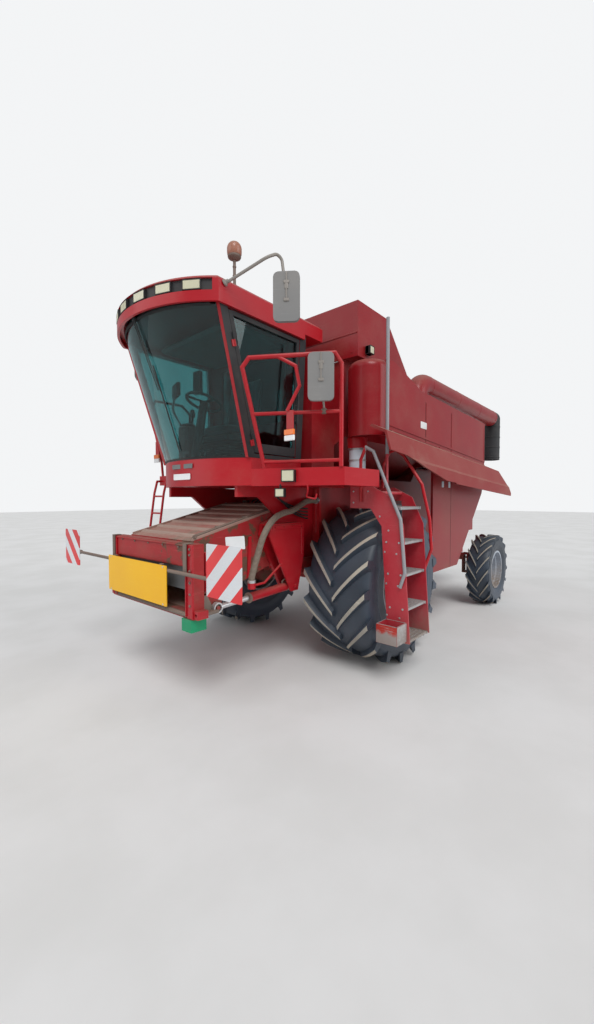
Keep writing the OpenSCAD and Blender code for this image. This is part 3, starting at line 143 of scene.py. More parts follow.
def grid(rows, columns, ring=False, closed=True):
    """Faces over rows of places: ring joins the last row to the first, closed does so with the columns."""
    faces = []
    for i in range(rows if ring else rows - 1):
        for k in range(columns if closed else columns - 1):
            here, there, beside = i * columns, (i + 1) % rows * columns, (k + 1) % columns
            faces.append([here + k, here + beside, there + beside, there + k])
    return faces


def collar(r, half, top_r, top_half):
    """The outline of a low ring that stands on a round bar."""
    return [(r, -half), (top_r, -top_half), (top_r, top_half), (r, half)]


class Shape:
    """Gathers solids in the drawing's millimetres and makes one piece of them."""

    def __init__(self, turn=None):
        self.verts = []
        self.faces = []
        self.marks = []
        self.mark = 0
        self.turn = turn or Matrix()

    def add(self, verts, faces, marks=None):
        start = len(self.verts)
        self.verts += [self.turn @ Vector(v) for v in verts]
        self.faces += [[start + i for i in f] for f in faces]
        self.marks += marks or [self.mark] * len(faces)

    def block(self, one, other, edge=4):
        """A block between two opposite corners, with chamfered edges."""
        lo = [min(pair) for pair in zip(one, other)]
        hi = [max(pair) for pair in zip(one, other)]
        e = min(edge, 0.45 * min(h - l for l, h in zip(lo, hi)))
        verts = []
        for c in range(8):
            side = [c >> a & 1 for a in range(3)]
            corner = [hi[k] if side[k] else lo[k] for k in range(3)]
            inset = [-e if side[k] else e for k in range(3)]
            verts += [[corner[k] + (0 if k == a else inset[k]) for k in range(3)] for a in range(3)]
        faces = [[3 * c, 3 * c + 1, 3 * c + 2] for c in range(8)]
        for a in range(3):
            b, c = (a + 1) % 3, (a + 2) % 3
            for s in (0, 1):
                ring = [(0, 0), (1, 0), (1, 1), (0, 1)]
                faces.append([3 * (s << a | p << b | q << c) + a for p, q in ring])
            for low in (0, 1 << b, 1 << c, 1 << b | 1 << c):
                high = low | 1 << a
                faces.append([3 * low + b, 3 * high + b, 3 * high + c, 3 * low + c])
        self.add(verts, faces)

    def tube(self, points, r, sides=12):
        """A round bar along the points, closed at both ends; r may hold a radius for each point."""
        rows = [Vector(p) for p in points]
        n = len(rows)
        sizes = r if isinstance(r, list) else [r] * n
        side = (rows[1] - rows[0]).normalized().orthogonal().normalized()
        verts = []
        for i, p in enumerate(rows):
            t = (rows[min(i + 1, n - 1)] - rows[max(i - 1, 0)]).normalized()
            side = (side - t * side.dot(t)).normalized()
            up = t.cross(side)
            verts += [p + sizes[i] * (c * side + s * up) for c, s in around(sides, 1)]
        ends = [list(range(sides)), [(n - 1) * sides + k for k in range(sides)]]
        self.add(verts, grid(n, sides) + ends)

    def lathe(self, outline, middle, axis, sides=40, closed=False):
        """(radius, height) pairs turned round an axis through middle."""
        axis = Vector(axis).normalized()
        side = axis.orthogonal().normalized()
        up = axis.cross(side)
        middle = Vector(middle)
        verts = []
        for c, s in around(sides, 1):
            verts += [middle + axis * h + (c * side + s * up) * r for r, h in outline]
        m = len(outline)
        faces = grid(sides, m, True, closed)
        if not closed:
            faces += [[k * m for k in range(sides)], [k * m + m - 1 for k in range(sides)]]
        self.add(verts, faces)

    def prism(self, outline, one, other):
        """A flat outline of (x, z) pairs drawn out along Y."""
        n = len(outline)
        verts = [(x, y, z) for y in (one, other) for x, z in outline]
        self.add(verts, grid(2, n) + [list(range(n)), list(range(n, 2 * n))])

    def bolts(self, places, axis, across, height):
        """Hexagon heads on their washers."""
        r = across / 2
        for place in places:
            self.lathe([(r * 1.25, 0), (r * 1.25, 2.5), (r, 2.6)], place, axis, 12)
            self.lathe([(r, 2), (r, height - 2), (r * 0.85, height)], place, axis, 6)

    def plate(self, middle, right, up, size, thick, corner):
        """A thin plate with rounded corners, standing on a surface."""
        right, up, middle = Vector(right), Vector(up), Vector(middle)
        out = right.cross(up)
        w, h = size[0] / 2 - corner, size[1] / 2 - corner
        ring = []
        for sx, sy, start in ((1, 1, 0), (-1, 1, 90), (-1, -1, 180), (1, -1, 270)):
            for a in range(start, start + 91, 30):
                a = math.radians(a)
                ring.append((sx * w + corner * math.cos(a), sy * h + corner * math.sin(a)))
        n = len(ring)
        verts = []
        for part, lift in ((1, 0), (1, thick - 0.8), (0.985, thick)):
            verts += [middle + right * x * part + up * y * part + out * lift for x, y in ring]
        self.add(verts, grid(3, n) + [list(range(n)), list(range(2 * n, 3 * n))])

    def piece(self, name, finishes, slot, body="chassis", smooth=35, replaces=()):
        """Makes the piece, finishes it and lets it ride on its body."""
        mesh = bpy.data.meshes.new(name)
        mesh.from_pydata([at(*v) for v in self.verts], [], self.faces)
        for polygon, mark in zip(mesh.polygons, self.marks):
            polygon.material_index = mark
        work = bmesh.new()
        work.from_mesh(mesh)
        bmesh.ops.recalc_face_normals(work, faces=work.faces)
        work.to_mesh(mesh)
        work.free()
        for finish in finishes:
            mesh.materials.append(bpy.data.materials[finish])
        mesh.shade_smooth()
        mesh.set_sharp_from_angle(angle=math.radians(smooth))
        piece = bpy.data.objects.new(name, mesh)
        bpy.context.scene.collection.objects.link(piece)
        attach(piece, body)
        if replaces:
            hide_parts(*replaces)
        return piece


class Graph:
    """Adds shader nodes and links to one node tree."""

    def __init__(self, tree):
        self.tree = tree

    def add(self, kind, inputs=None, **settings):
        node = self.tree.nodes.new("ShaderNode" + kind)
        for key, value in settings.items():
            setattr(node, key, value)
        for key, value in (inputs or {}).items():
            self.feed(node.inputs[key], value)
        return node

    def feed(self, socket, value):
        if isinstance(value, bpy.types.NodeSocket):
            self.tree.links.new(value, socket)
        else:
            socket.default_value = value

    def mix(self, fac, a, b):
        return self.add("Mix", {0: fac, 6: a, 7: b}, data_type="RGBA").outputs[2]

    def math(self, operation, a, b=0.0, c=0.0):
        return self.add("Math", {0: a, 1: b, 2: c}, operation=operation).outputs[0]

    def times(self, a, b):
        return self.math("MULTIPLY", a, b)

    def plus(self, a, b):
        return self.math("ADD", a, b)

    def less(self, a, b):
        return self.math("SUBTRACT", a, b)

    def ramp(self, value, lo, hi, out_lo=0.0, out_hi=1.0):
        given = {0: value, 1: lo, 2: hi, 3: out_lo, 4: out_hi}
        return self.add("MapRange", given, interpolation_type="SMOOTHSTEP").outputs[0]

    def noise(self, vector, scale, detail=4.0, rough=0.55):
        given = {"Vector": vector, "Scale": scale, "Detail": detail, "Roughness": rough}
        return self.add("TexNoise", given).outputs[0]

    def wave(self, inputs):
        return self.add("TexWave", inputs, bands_direction="DIAGONAL").outputs[1]

    def coords(self):
        return self.add("TexCoord").outputs["Object"]

    def group(self, name, inputs):
        node = self.add("Group")
        node.node_tree = bpy.data.node_groups[name]
        for key, value in inputs.items():
            node.inputs[key].default_value = value
        return node.outputs


def shader_group(name, inputs, outputs):
    """An empty shader group with named sockets; inputs are (name, default)."""
    group = bpy.data.node_groups.new(name, "ShaderNodeTree")
    for label, default in inputs:
        socket = group.interface.new_socket(label, in_out="INPUT", socket_type="NodeSocketFloat")
        socket.default_value = default
    for label in outputs:
        group.interface.new_socket(label, in_out="OUTPUT", socket_type="NodeSocketFloat")
    entry = group.nodes.new("NodeGroupInput")
    leave = group.nodes.new("NodeGroupOutput")
    return Graph(group), entry.outputs, leave.inputs


def make_settled_dust():
    """Dust that lies on upward faces and in patches, and mud near the ground."""
    g, given, out = shader_group(
        "settled_dust",
        [("Amount", 0.5), ("Mud Height", 0.8), ("Patch Size", 1.0), ("Offset", 0.0)],
        ["Dust", "Mud", "Height"],
    )
    coords = g.coords()
    shift = g.add("CombineXYZ", {0: given["Offset"], 1: given["Offset"], 2: 0.0}).outputs[0]
    place = g.add("VectorMath", {0: coords, 1: shift}, operation="ADD").outputs[0]
    scaled = g.add("VectorMath", {0: place, "Scale": given["Patch Size"]}, operation="SCALE").outputs[0]
    patch = g.noise(scaled, 1.7, 6.0, 0.62)
    fine = g.noise(scaled, 34.0, 5.0, 0.7)
    normal = g.add("NewGeometry").outputs["Normal"]
    up = g.ramp(g.add("SeparateXYZ", {0: normal}).outputs[2], 0.12, 0.92)
    lying = g.times(up, g.ramp(patch, 0.2, 0.62, 0.45, 1.0))
    thin = g.times(g.ramp(patch, 0.42, 0.78), 0.42)
    both = g.times(g.math("MAXIMUM", lying, thin), given["Amount"])
    speckle = g.ramp(fine, 0.3, 0.7, 0.7, 1.15)
    g.feed(out["Dust"], g.math("MINIMUM", g.times(both, speckle), 1.0))
    height = g.add("SeparateXYZ", {0: coords}).outputs[2]
    edge = g.less(given["Mud Height"], height)
    rough_edge = g.plus(edge, g.times(g.less(patch, 0.5), 0.9))
    g.feed(out["Mud"], g.times(g.ramp(rough_edge, -0.05, 0.5), g.ramp(fine, 0.25, 0.62, 0.35, 0.9)))
    g.feed(out["Height"], fine)


def make_wear():
    """Faded patches, long scuffs and small chips of a used painted or rubber surface."""
    g, given, out = shader_group(
        "wear", [("Scuff Amount", 0.4), ("Scale", 1.0)], ["Fade", "Scuff", "Chip", "Grain"]
    )
    place = g.add("VectorMath", {0: g.coords(), "Scale": given["Scale"]}, operation="SCALE").outputs[0]
    g.feed(out["Fade"], g.ramp(g.noise(place, 0.9, 3.0, 0.5), 0.3, 0.7))
    squeezed = g.add("Mapping", {"Vector": place, "Scale": (2.0, 2.4, 26.0)}).outputs[0]
    streak = g.ramp(g.noise(squeezed, 2.2, 5.0, 0.7), 0.56, 0.74)
    g.feed(out["Scuff"], g.times(streak, given["Scuff Amount"]))
    chip = g.ramp(g.noise(place, 21.0, 7.0, 0.75), 0.66, 0.72)
    g.feed(out["Chip"], g.times(chip, given["Scuff Amount"]))
    g.feed(out["Grain"], g.noise(place, 190.0, 3.0, 0.6))


@dataclass
class Finish:
    """What a coated surface looks like; every finish of the machine is one of these."""

    colour: tuple
    fade: tuple = None
    under: tuple = None
    dust: float = 0.5
    mud: float = 0.0
    rough: float = 0.45
    metal: float = 0.0
    coat: float = 0.0
    grain: float = 0.15
    scuff: float = 0.4
    dust_colour: tuple = (0.40, 0.31, 0.24)
    sheen: float = 0.0
    shine: float = 0.32

    def __post_init__(self):
        self.fade = self.fade or tuple(min(1.0, c * 1.35 + 0.01) for c in self.colour)
        self.under = self.under or tuple(c * 0.4 + 0.02 for c in self.colour)


def rgba(colour):
    return (*colour[:3], 1.0)


def worn_surface(name, finish):
    """A Principled material whose colour, roughness and bump come from dust, mud and wear."""
    material = bpy.data.materials.new(name)
    material.use_nodes = True
    tree = material.node_tree
    g = Graph(tree)
    shader = tree.nodes["Principled BSDF"].inputs
    shader["Specular IOR Level"].default_value = finish.shine
    wear = g.group("wear", {"Scuff Amount": finish.scuff})
    offset = 0.37 * (len(name) % 7)
    dust = g.group("settled_dust", {"Amount": finish.dust, "Mud Height": finish.mud, "Offset": offset})
    base = pattern_of(name, g, g.mix(wear["Fade"], rgba(finish.colour), rgba(finish.fade)))
    worn = g.mix(wear["Scuff"], base, rgba(tuple(min(1, c * 1.25 + 0.05) for c in finish.colour)))
    chipped = g.mix(wear["Chip"], worn, rgba(finish.under))
    dusted = g.mix(dust["Dust"], chipped, rgba(finish.dust_colour))
    g.feed(shader["Base Color"], g.mix(dust["Mud"], dusted, (0.21, 0.155, 0.11, 1.0)))
    dull = g.math("MAXIMUM", dust["Dust"], dust["Mud"])
    clean = g.less(1.0, dull)
    rough = g.plus(finish.rough, g.times(dull, 0.92 - finish.rough))
    g.feed(shader["Roughness"], g.plus(rough, g.times(wear["Scuff"], 0.12)))
    if finish.metal:
        g.feed(shader["Metallic"], g.times(clean, finish.metal))
    if finish.coat:
        g.feed(shader["Coat Weight"], g.times(clean, finish.coat))
        shader["Coat Roughness"].default_value = 0.18
    if finish.sheen:
        shader["Sheen Weight"].default_value = finish.sheen
        shader["Sheen Roughness"].default_value = 0.6
    grains = g.plus(wear["Grain"], g.times(dust["Height"], 1.4))
    bump = g.add("Bump", {"Strength": finish.grain, "Distance": 0.0012, "Height": grains})
    g.feed(shader["Normal"], bump.outputs[0])


STRIPE_PAIR = 0.283
STRIPE_START = {"left_stripes": -0.100, "right_stripes": -0.492}
# The grey parts of the ladder's rails: the pole, and the outer rail beyond 1.40 m to the left
POLE_X, OUTER_RAIL_X, OUTER_RAIL_Y = at(470, 0, 0).x, at(629, 0, 0).x, 1.40


def pattern_of(name, g, base):
    """Adds the pattern that a finish has of its own: stripes, rust, weave or wrapping."""
    coords = g.coords()
    parts = g.add("SeparateXYZ", {0: coords}).outputs
    if name in STRIPE_START:
        across = g.math("SUBTRACT" if name == "left_stripes" else "ADD", parts[1], parts[2])
        turns = g.math("DIVIDE", g.less(across, STRIPE_START[name]), STRIPE_PAIR)
        band = g.math("GREATER_THAN", g.math("FRACT", turns), 0.5)
        cells = g.add("TexVoronoi", {"Vector": coords, "Scale": 300.0}).outputs[0]
        lit = g.mix(g.ramp(cells, 0.2, 0.9), (0.66, 0.69, 0.72, 1), (0.78, 0.80, 0.82, 1))
        return g.mix(band, base, lit)
    if name == "rail_paint":
        pole = g.math("COMPARE", parts[0], POLE_X, 0.04)
        beyond = g.math("GREATER_THAN", parts[1], OUTER_RAIL_Y)
        outer = g.times(g.math("COMPARE", parts[0], OUTER_RAIL_X, 0.03), beyond)
        return g.mix(g.math("MAXIMUM", pole, outer), base, (0.30, 0.31, 0.33, 1))
    if name == "box_rust":
        red = g.ramp(g.less(parts[2], g.times(g.noise(coords, 14.0), 0.12)), 0.50, 0.54)
        return g.mix(red, base, (0.45, 0.03, 0.02, 1))
    if name in ("rusty_red", "feeder_paint", "stained_red"):
        stains = g.ramp(g.noise(coords, 5.5, 6.0, 0.66), 0.50, 0.56)
        near = g.ramp(g.math("ABSOLUTE", g.less(parts[1], 0.42)), 0.16, 0.26, 1.0, 0.12)
        rust = g.mix(g.noise(coords, 60.0, 4.0, 0.7), (0.05, 0.028, 0.018, 1), (0.17, 0.075, 0.04, 1))
        return g.mix(g.times(stains, near), base, rust)
    if name == "seat_cloth":
        return g.mix(g.wave({"Vector": coords, "Scale": 240.0}), base, (0.10, 0.11, 0.13, 1))
    if name == "wrapped_hose":
        turns = g.wave({"Vector": coords, "Scale": 19.0, "Distortion": 1.6})
        return g.mix(g.ramp(turns, 0.3, 0.8), base, (0.20, 0.165, 0.13, 1))
    return base


BARE_RUST = (0.10, 0.05, 0.03)


def finishes(looks):
    """Every coated finish of the machine by name."""
    dust = tuple(looks.dust_colour)
    hot_red = Finish((0.46, 0.006, 0.014), fade=(0.40, 0.008, 0.016), dust=0.30, mud=0.7, rough=0.30,
                     coat=0.18, grain=0.08, scuff=0.22, dust_colour=dust)
    rusty_red = Finish((0.33, 0.010, 0.014), fade=(0.30, 0.020, 0.020), dust=0.42, mud=0.95, grain=0.3,
                       scuff=0.6, dust_colour=dust)
    stripes = Finish((0.60, 0.03, 0.035), dust=0.2, rough=0.35, grain=0.05, scuff=0.2)
    return {
        "crimson_paint": Finish(tuple(looks.paint_colour), fade=(0.25, 0.010, 0.014), dust=0.42, mud=0.9,
                                rough=0.34, coat=0.12, grain=0.10, scuff=0.22, dust_colour=dust),
        "hot_red_paint": hot_red,
        "rail_paint": hot_red,
        # The ladder's pinkish red and its pink fade and dust colours are red paint with a painted bluish sheen
        "ladder_paint": Finish((0.50, 0.020, 0.035), fade=(0.46, 0.07, 0.085), dust=0.55, mud=0.6, rough=0.34,
                               coat=0.15, grain=0.12, scuff=0.35, dust_colour=(0.42, 0.30, 0.28)),
        "dusty_red_paint": Finish((0.27, 0.018, 0.020), fade=(0.30, 0.05, 0.045), dust=0.95, mud=0.9, rough=0.5,
                                  grain=0.14, scuff=0.5, dust_colour=(0.38, 0.27, 0.21)),
        "rusty_red": rusty_red,
        "dusty_rib": Finish((0.30, 0.16, 0.13), fade=(0.36, 0.25, 0.21), dust=0.8, mud=0.5, rough=0.55,
                            grain=0.2, scuff=0.6, dust_colour=(0.44, 0.34, 0.28)),
        "steel_silver": Finish((0.50, 0.51, 0.52), under=(0.12, 0.10, 0.09), mud=0.7, rough=0.36, metal=0.85,
                               grain=0.2, scuff=0.7, dust_colour=dust),
        "rusty_steel": Finish((0.17, 0.13, 0.11), fade=(0.24, 0.19, 0.16), under=BARE_RUST, dust=0.6, mud=0.9,
                              rough=0.6, metal=0.45, grain=0.35, scuff=0.6, dust_colour=dust),
        "box_rust": Finish((0.30, 0.25, 0.235), fade=(0.36, 0.32, 0.30), under=BARE_RUST, dust=0.3, mud=0.55,
                           rough=0.5, metal=0.3, grain=0.3, scuff=0.8, dust_colour=dust),
        "feeder_paint": replace(rusty_red, dust=0.85, dust_colour=(0.40, 0.29, 0.235)),
        "stained_red": Finish((0.40, 0.010, 0.014), fade=(0.33, 0.014, 0.016), dust=0.42, mud=0.5, rough=0.42,
                              grain=0.3, scuff=0.6, dust_colour=dust),
        "rim_silver": Finish(tuple(looks.rim_colour), dust=0.4, mud=0.9, rough=0.4, metal=0.25, coat=0.15,
                             grain=0.1, dust_colour=dust),
        "pale_tube_paint": Finish((0.55, 0.64, 0.70), dust=0.35, mud=0.8, rough=0.4, grain=0.1, scuff=0.3),
        # The tyres' bluish base, fade and dust colours are a painted sky sheen over the black rubber
        "worn_rubber": Finish(tuple(looks.rubber_and_sheen_colour), fade=(0.062, 0.082, 0.115), dust=0.34, mud=-3.0,
                              rough=0.42, grain=0.4, dust_colour=(0.13, 0.142, 0.158), shine=0.45),
        "lug_dust": Finish((0.50, 0.46, 0.375), fade=(0.28, 0.27, 0.25), under=(0.06, 0.06, 0.065), mud=0.5,
                           rough=0.8, grain=0.5, scuff=0.9, dust_colour=(0.38, 0.32, 0.25)),
        "black_rubber": Finish((0.018, 0.019, 0.021), dust=0.22, mud=0.5, rough=0.55, grain=0.2, scuff=0.2),
        "dull_plastic": Finish((0.022, 0.023, 0.025), dust=0.3, mud=0.5, rough=0.42, grain=0.3, scuff=0.3),
        "grey_flap": Finish((0.075, 0.078, 0.08), mud=1.1, rough=0.7, grain=0.3, scuff=0.7),
        "cast_iron": Finish((0.055, 0.052, 0.05), dust=0.6, mud=0.6, rough=0.6, metal=0.4, grain=0.6),
        "yellow_board": Finish((0.95, 0.53, 0.008), fade=(0.90, 0.47, 0.010), under=(0.3, 0.15, 0.05),
                               dust=0.10, rough=0.4, grain=0.06, scuff=0.35),
        "left_stripes": stripes,
        "right_stripes": stripes,
        "white_plate": Finish((0.72, 0.73, 0.74), dust=0.12, rough=0.4, grain=0.04, scuff=0.15),
        "green_block": Finish((0.0, 0.20, 0.085), dust=0.3, rough=0.4, scuff=0.3),
        "seat_cloth": Finish((0.022, 0.026, 0.032), dust=0.15, rough=0.9, grain=0.5, sheen=0.4),
        "wrapped_hose": Finish((0.15, 0.115, 0.09), rough=0.75, grain=0.6, scuff=0.5,
                               dust_colour=(0.30, 0.24, 0.19)),
        "cab_grey": Finish((0.16, 0.17, 0.17), dust=0.2, rough=0.6, grain=0.3, scuff=0.2),
        "beacon_amber": Finish((0.36, 0.13, 0.075), fade=(0.40, 0.20, 0.14), dust=0.6, rough=0.35,
                               coat=0.4, dust_colour=(0.40, 0.28, 0.22)),
        "lens_cream": Finish((0.70, 0.68, 0.50), fade=(0.62, 0.60, 0.42), dust=0.12, rough=0.16,
                             coat=0.9, grain=0.05, scuff=0.1),
        "lens_orange": Finish((0.75, 0.16, 0.02), dust=0.12, rough=0.2, coat=0.8, grain=0.05),
        "lens_red": Finish((0.42, 0.012, 0.012), dust=0.15, rough=0.2, coat=0.8, grain=0.05),
        "mirror_shell": Finish((0.20, 0.20, 0.20), fade=(0.26, 0.25, 0.24), dust=0.6, rough=0.55,
                               grain=0.2, dust_colour=(0.36, 0.32, 0.28)),
        "arm_grey": Finish((0.24, 0.22, 0.20), under=BARE_RUST, rough=0.5, metal=0.4, grain=0.2,
                           dust_colour=(0.36, 0.30, 0.25)),
        "mirror_face": Finish((0.62, 0.66, 0.68), dust=0.35, rough=0.12, metal=0.9, grain=0.03,
                              scuff=0.3),
    }


def tinted_glass(colour):
    """Teal tinted cab glass."""
    material = bpy.data.materials.new("teal_glass")
    material.use_nodes = True
    g = Graph(material.node_tree)
    shader = material.node_tree.nodes["Principled BSDF"].inputs
    shader["Transmission Weight"].default_value = 1.0
    shader["IOR"].default_value = 1.45
    smear = g.ramp(g.noise(g.coords(), 2.6, 6.0, 0.65), 0.4, 0.8)
    g.feed(shader["Base Color"], g.mix(smear, rgba(colour), rgba(tuple(c * 0.8 + 0.01 for c in colour))))
    g.feed(shader["Roughness"], g.times(smear, 0.05))


# The frame's own pieces under the finish that each of them gets
FINISH_NODES = {
    "crimson_paint": "threshing_body grain_tank tank_extension side_panels lower_shields straw_hood"
                     " engine_cover unloading_tube",
    "hot_red_paint": "front_bulkhead cab_shell cab_roof platform guard_rail right_steps header_locks"
                     " lift_barrels",
    "rusty_red": "main_frame outriggers front_axle rear_axle spreader_left spreader_right knuckle_left"
                 " knuckle_right",
    "rim_silver": "rim_front_left rim_front_right rim_rear_left rim_rear_right",
    "dusty_red_paint": "wheel_arches flare_left flare_right",
    "cast_iron": "engine",
    "dull_plastic": "fuel_tank steering_column",
    "teal_glass": "cab_glass door_glass",
    "ladder_paint": "access_ladder",
    "rail_paint": "ladder_rails",
    "pale_tube_paint": "elevator_tube",
    "feeder_paint": "feeder_house",
    "stained_red": "header_frame",
    "rusty_steel": "feeder_chain steering_rod",
    "grey_flap": "throat_flap",
    "green_block": "stand_block",
    "steel_silver": "lift_rods",
    "black_rubber": "door_frame unloading_boot",
}


def colour_setting(name, description, default):
    return FloatVectorProperty(
        name=name, description=description, subtype="COLOR", size=3, default=default, min=0, max=1)


class CombineLooks(bpy.types.PropertyGroup):
    """Colours and sizes that a user would change."""

    paint_colour: colour_setting("Body Paint", "Paint of the body panels", (0.29, 0.006, 0.011))
    dust_colour: colour_setting("Dust", "Colour of the dust that has settled", (0.34, 0.24, 0.185))
    glass_colour: colour_setting("Glass", "Tint of the cab's glass", (0.15, 0.38, 0.39))
    rim_colour: colour_setting("Rims", "Paint of the wheel rims", (0.42, 0.47, 0.54))
    # The tyre colour's blue tint is a painted sky sheen on black rubber
    rubber_and_sheen_colour: colour_setting("Tyres", "Rubber of the tyres", (0.024, 0.033, 0.047))
    tread_turn: FloatProperty(
        name="Tread Sweep", description="How far a lug turns round the tyre", subtype="ANGLE",
        default=math.radians(27), min=0.2, max=0.7)
    tyre_sides: IntProperty(
        name="Tyre Sides", description="Steps round a tyre", default=104, min=32, max=160)
    seat_fill: FloatProperty(
        name="Seat Fill", description="How full the seat cushions are", default=0.7, min=0, max=1)
    light_level: FloatProperty(
        name="Light", description="Strength of the studio's lamps", default=1.0, min=0, max=3)


class COMBINE_OT_camera(bpy.types.Operator):
    """Places the camera where the machine is seen from its front left corner"""

    bl_idname = "combine.camera"
    bl_label = "Camera"

    def execute(self, context):
        data = bpy.data.cameras.new("viewpoint")
        data.lens = VIEW_LENS
        data.sensor_width = 36.0
        data.clip_end = 200.0
        camera = bpy.data.objects.new("viewpoint", data)
        ahead = Vector(VIEW_AHEAD).normalized()
        right = ahead.cross(Vector(Z)).normalized()
        turn = Matrix((right, right.cross(ahead), -ahead)).transposed().to_4x4()
        camera.matrix_world = Matrix.Translation(at(*VIEW_PLACE)) @ turn
        context.scene.collection.objects.link(camera)
        context.scene.camera = camera
        return {"FINISHED"}


class COMBINE_OT_finishes(bpy.types.Operator):
    """Makes the finishes and gives each of the frame's own pieces its own"""

    bl_idname = "combine.finishes"
    bl_label = "Finishes"

    def execute(self, context):
        looks = context.scene.combine_looks
        make_settled_dust()
        make_wear()
        for name, finish in finishes(looks).items():
            worn_surface(name, finish)
        tinted_glass(tuple(looks.glass_colour))
        for finish, nodes in FINISH_NODES.items():
            material = bpy.data.materials[finish]
            for node in nodes.split():
                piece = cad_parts[node]
                if not piece.material_slots:
                    piece.data.materials.append(material)
                for slot in piece.material_slots:
                    slot.material = material
        return {"FINISHED"}


# Route of the hose bundle from the bulkhead to its parked coupler, as in the drawing
HOSE_ROUTE = [
    (520.3, 660, 1862), (600, 660, 1862), (720, 676, 1850), (850, 700, 1815), (980, 735, 1775),
    (1100, 765, 1750), (1220, 785, 1735), (1330, 793, 1705), (1420, 796, 1650), (1490, 796, 1575),
    (1545, 796, 1490), (1585, 796, 1400), (1620, 795, 1310), (1655, 792, 1220), (1680, 790, 1140),
    (1685, 790, 1120), (1685, 790, 1086),
]
HOSE_R = 31.5


class COMBINE_OT_supply_hose(bpy.types.Operator):
    """Lays the wrapped hose bundle over the lift bracket to its parked coupler"""

    bl_idname = "combine.supply_hose"
    bl_label = "Hose Bundle"

    def execute(self, context):
        line = bent(HOSE_ROUTE, 12)
        fit = Shape()
        fit.lathe([(30, -10), (40, -8), (40, 14), (35, 18), (30, 18)], HOSE_ROUTE[-1], Z, 24)
        fit.lathe([(30, -14), (42, -14), (42, 12), (30, 14)], (530, 660, 1862), X, 24)
        fit.bolts([(542, 660 + y, 1862 + z) for y, z in around(6, 36)], X, 9, 6)
        fittings = fit.piece("hose_fittings", ["steel_silver"], "bare_steel")
        run = Shape()
        run.tube(line, [HOSE_R + 0.9 * math.sin(i * 2.4) for i in range(len(line))], 20)
        for i in range(5, len(line) - 6, 13):
            run.lathe(collar(HOSE_R - 2, 5, HOSE_R + 2.4, 4), line[i], line[i + 1] - line[i - 1], 18)
        hose = run.piece("hose_bundle", ["wrapped_hose"], "hose_rubber", smooth=60, replaces=["supply_hose"])
        return {"FINISHED"}


def cushion(name, middle, size, turn, fill, channels):
    """A stuffed pad: a crowned form whose sides pull in, with sewn channels across it."""
    w, d, h = (s / 2 for s in size)
    pull = 0.045
    mesh = bmesh.new()
    n = 26
    places = {}
    for side in SIDES:
        for i in range(n + 1):
            for j in range(n + 1):
                u, v = 2 * i / n - 1, 2 * j / n - 1
                if side < 0 and max(abs(u), abs(v)) == 1:
                    places[side, i, j] = places[1, i, j]
                    continue
                x = w * u * (1 - pull * (1 - v * v)) if abs(u) == 1 else w * u
                y = d * v * (1 - pull * (1 - u * u)) if abs(v) == 1 else d * v
                crown = (1 - abs(u) ** 5) ** 0.5 * (1 - abs(v) ** 5) ** 0.5
                seam = sum(math.exp(-(((v - c) / 0.05) ** 2)) for c in channels) if side > 0 else 0
                z = side * h * crown * (0.86 + 0.14 * fill * (1 - u * u) * (1 - v * v) - 0.16 * seam)
                places[side, i, j] = mesh.verts.new((x, y, z))
    for side in SIDES:
        for i in range(n):
            for j in range(n):
                corners = ((i, j), (i + 1, j), (i + 1, j + 1), (i, j + 1))
                mesh.faces.new([places[side, a, b] for a, b in corners])
    bmesh.ops.recalc_face_normals(mesh, faces=mesh.faces)
    data = bpy.data.meshes.new(name)
    place = placed(*middle) @ turn
    for vert in mesh.verts:
        vert.co = at(*(place @ vert.co))
    mesh.to_mesh(data)
    mesh.free()
    data.shade_smooth()
    pad = bpy.data.objects.new(name, data)
    bpy.context.scene.collection.objects.link(pad)
    data.materials.append(bpy.data.materials["seat_cloth"])
    return pad


class COMBINE_OT_seat(bpy.types.Operator):
    """Builds the driver's seat with its cushions, console and levers"""

    bl_idname = "combine.seat"
    bl_label = "Seat"

    def execute(self, context):
        fill = context.scene.combine_looks.seat_fill
        floor = placed(0, 0, CAB_FLOOR)
        base = Shape(floor)
        for k in range(7):
            inset = 12 if k % 2 else 0
            base.block((1150 + inset, -135 + inset, 30 * k + 2), (1410 - inset, 135 - inset, 30 * k + 32), 8)
        base.block((1075, -255, 225), (1530, 255, 300), 18)
        base.block((1085, -515, 2), (1640, -340, 440), 24)
        base.block((1500, -500, 436), (1630, -355, 462), 8)
        for y in (-470, -430, -390):
            base.tube([(1540, y, 450), (1532, y, 476)], 6, 8)
            base.lathe([(0.1, -12), (9, -8), (11, 0), (8, 8), (0.1, 10)], (1531, y, 474), Z, 12)
        base.block((1105, -335, 340), (1200, -262, 392), 8)
        base.tube(rounded([(1110, 258, 330), (1150, 285, 400), (1150, 290, 560)], 40), 14)
        base.turn = floor @ placed(1100, 0, 410, -8, "Y")
        base.block((-60, -215, -60), (-20, 215, 560), 14)
        base.piece("seat_base", ["dull_plastic"], "black_plastic", replaces=["seat"])
        rest = Shape(floor)
        rest.block((1130, 255, 560), (1430, 320, 600), 18)
        rest.piece("arm_rest", ["black_rubber"], "black_plastic", smooth=50)
        lean = Matrix.Rotation(math.radians(-8), 4, "Y") @ Matrix.Rotation(math.radians(90), 4, "Y")
        for name, middle, size, turn, channel in (
            ("seat_cushion", (1318, 0, CAB_FLOOR + 358), (475, 520, 122), Matrix(), 0.55),
            ("back_cushion", (1075, 0, CAB_FLOOR + 700), (560, 490, 105), lean, 0.5),
        ):
            pad = cushion(name, middle, size, turn, fill, (-channel, channel))
            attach(pad, "chassis")
        return {"FINISHED"}


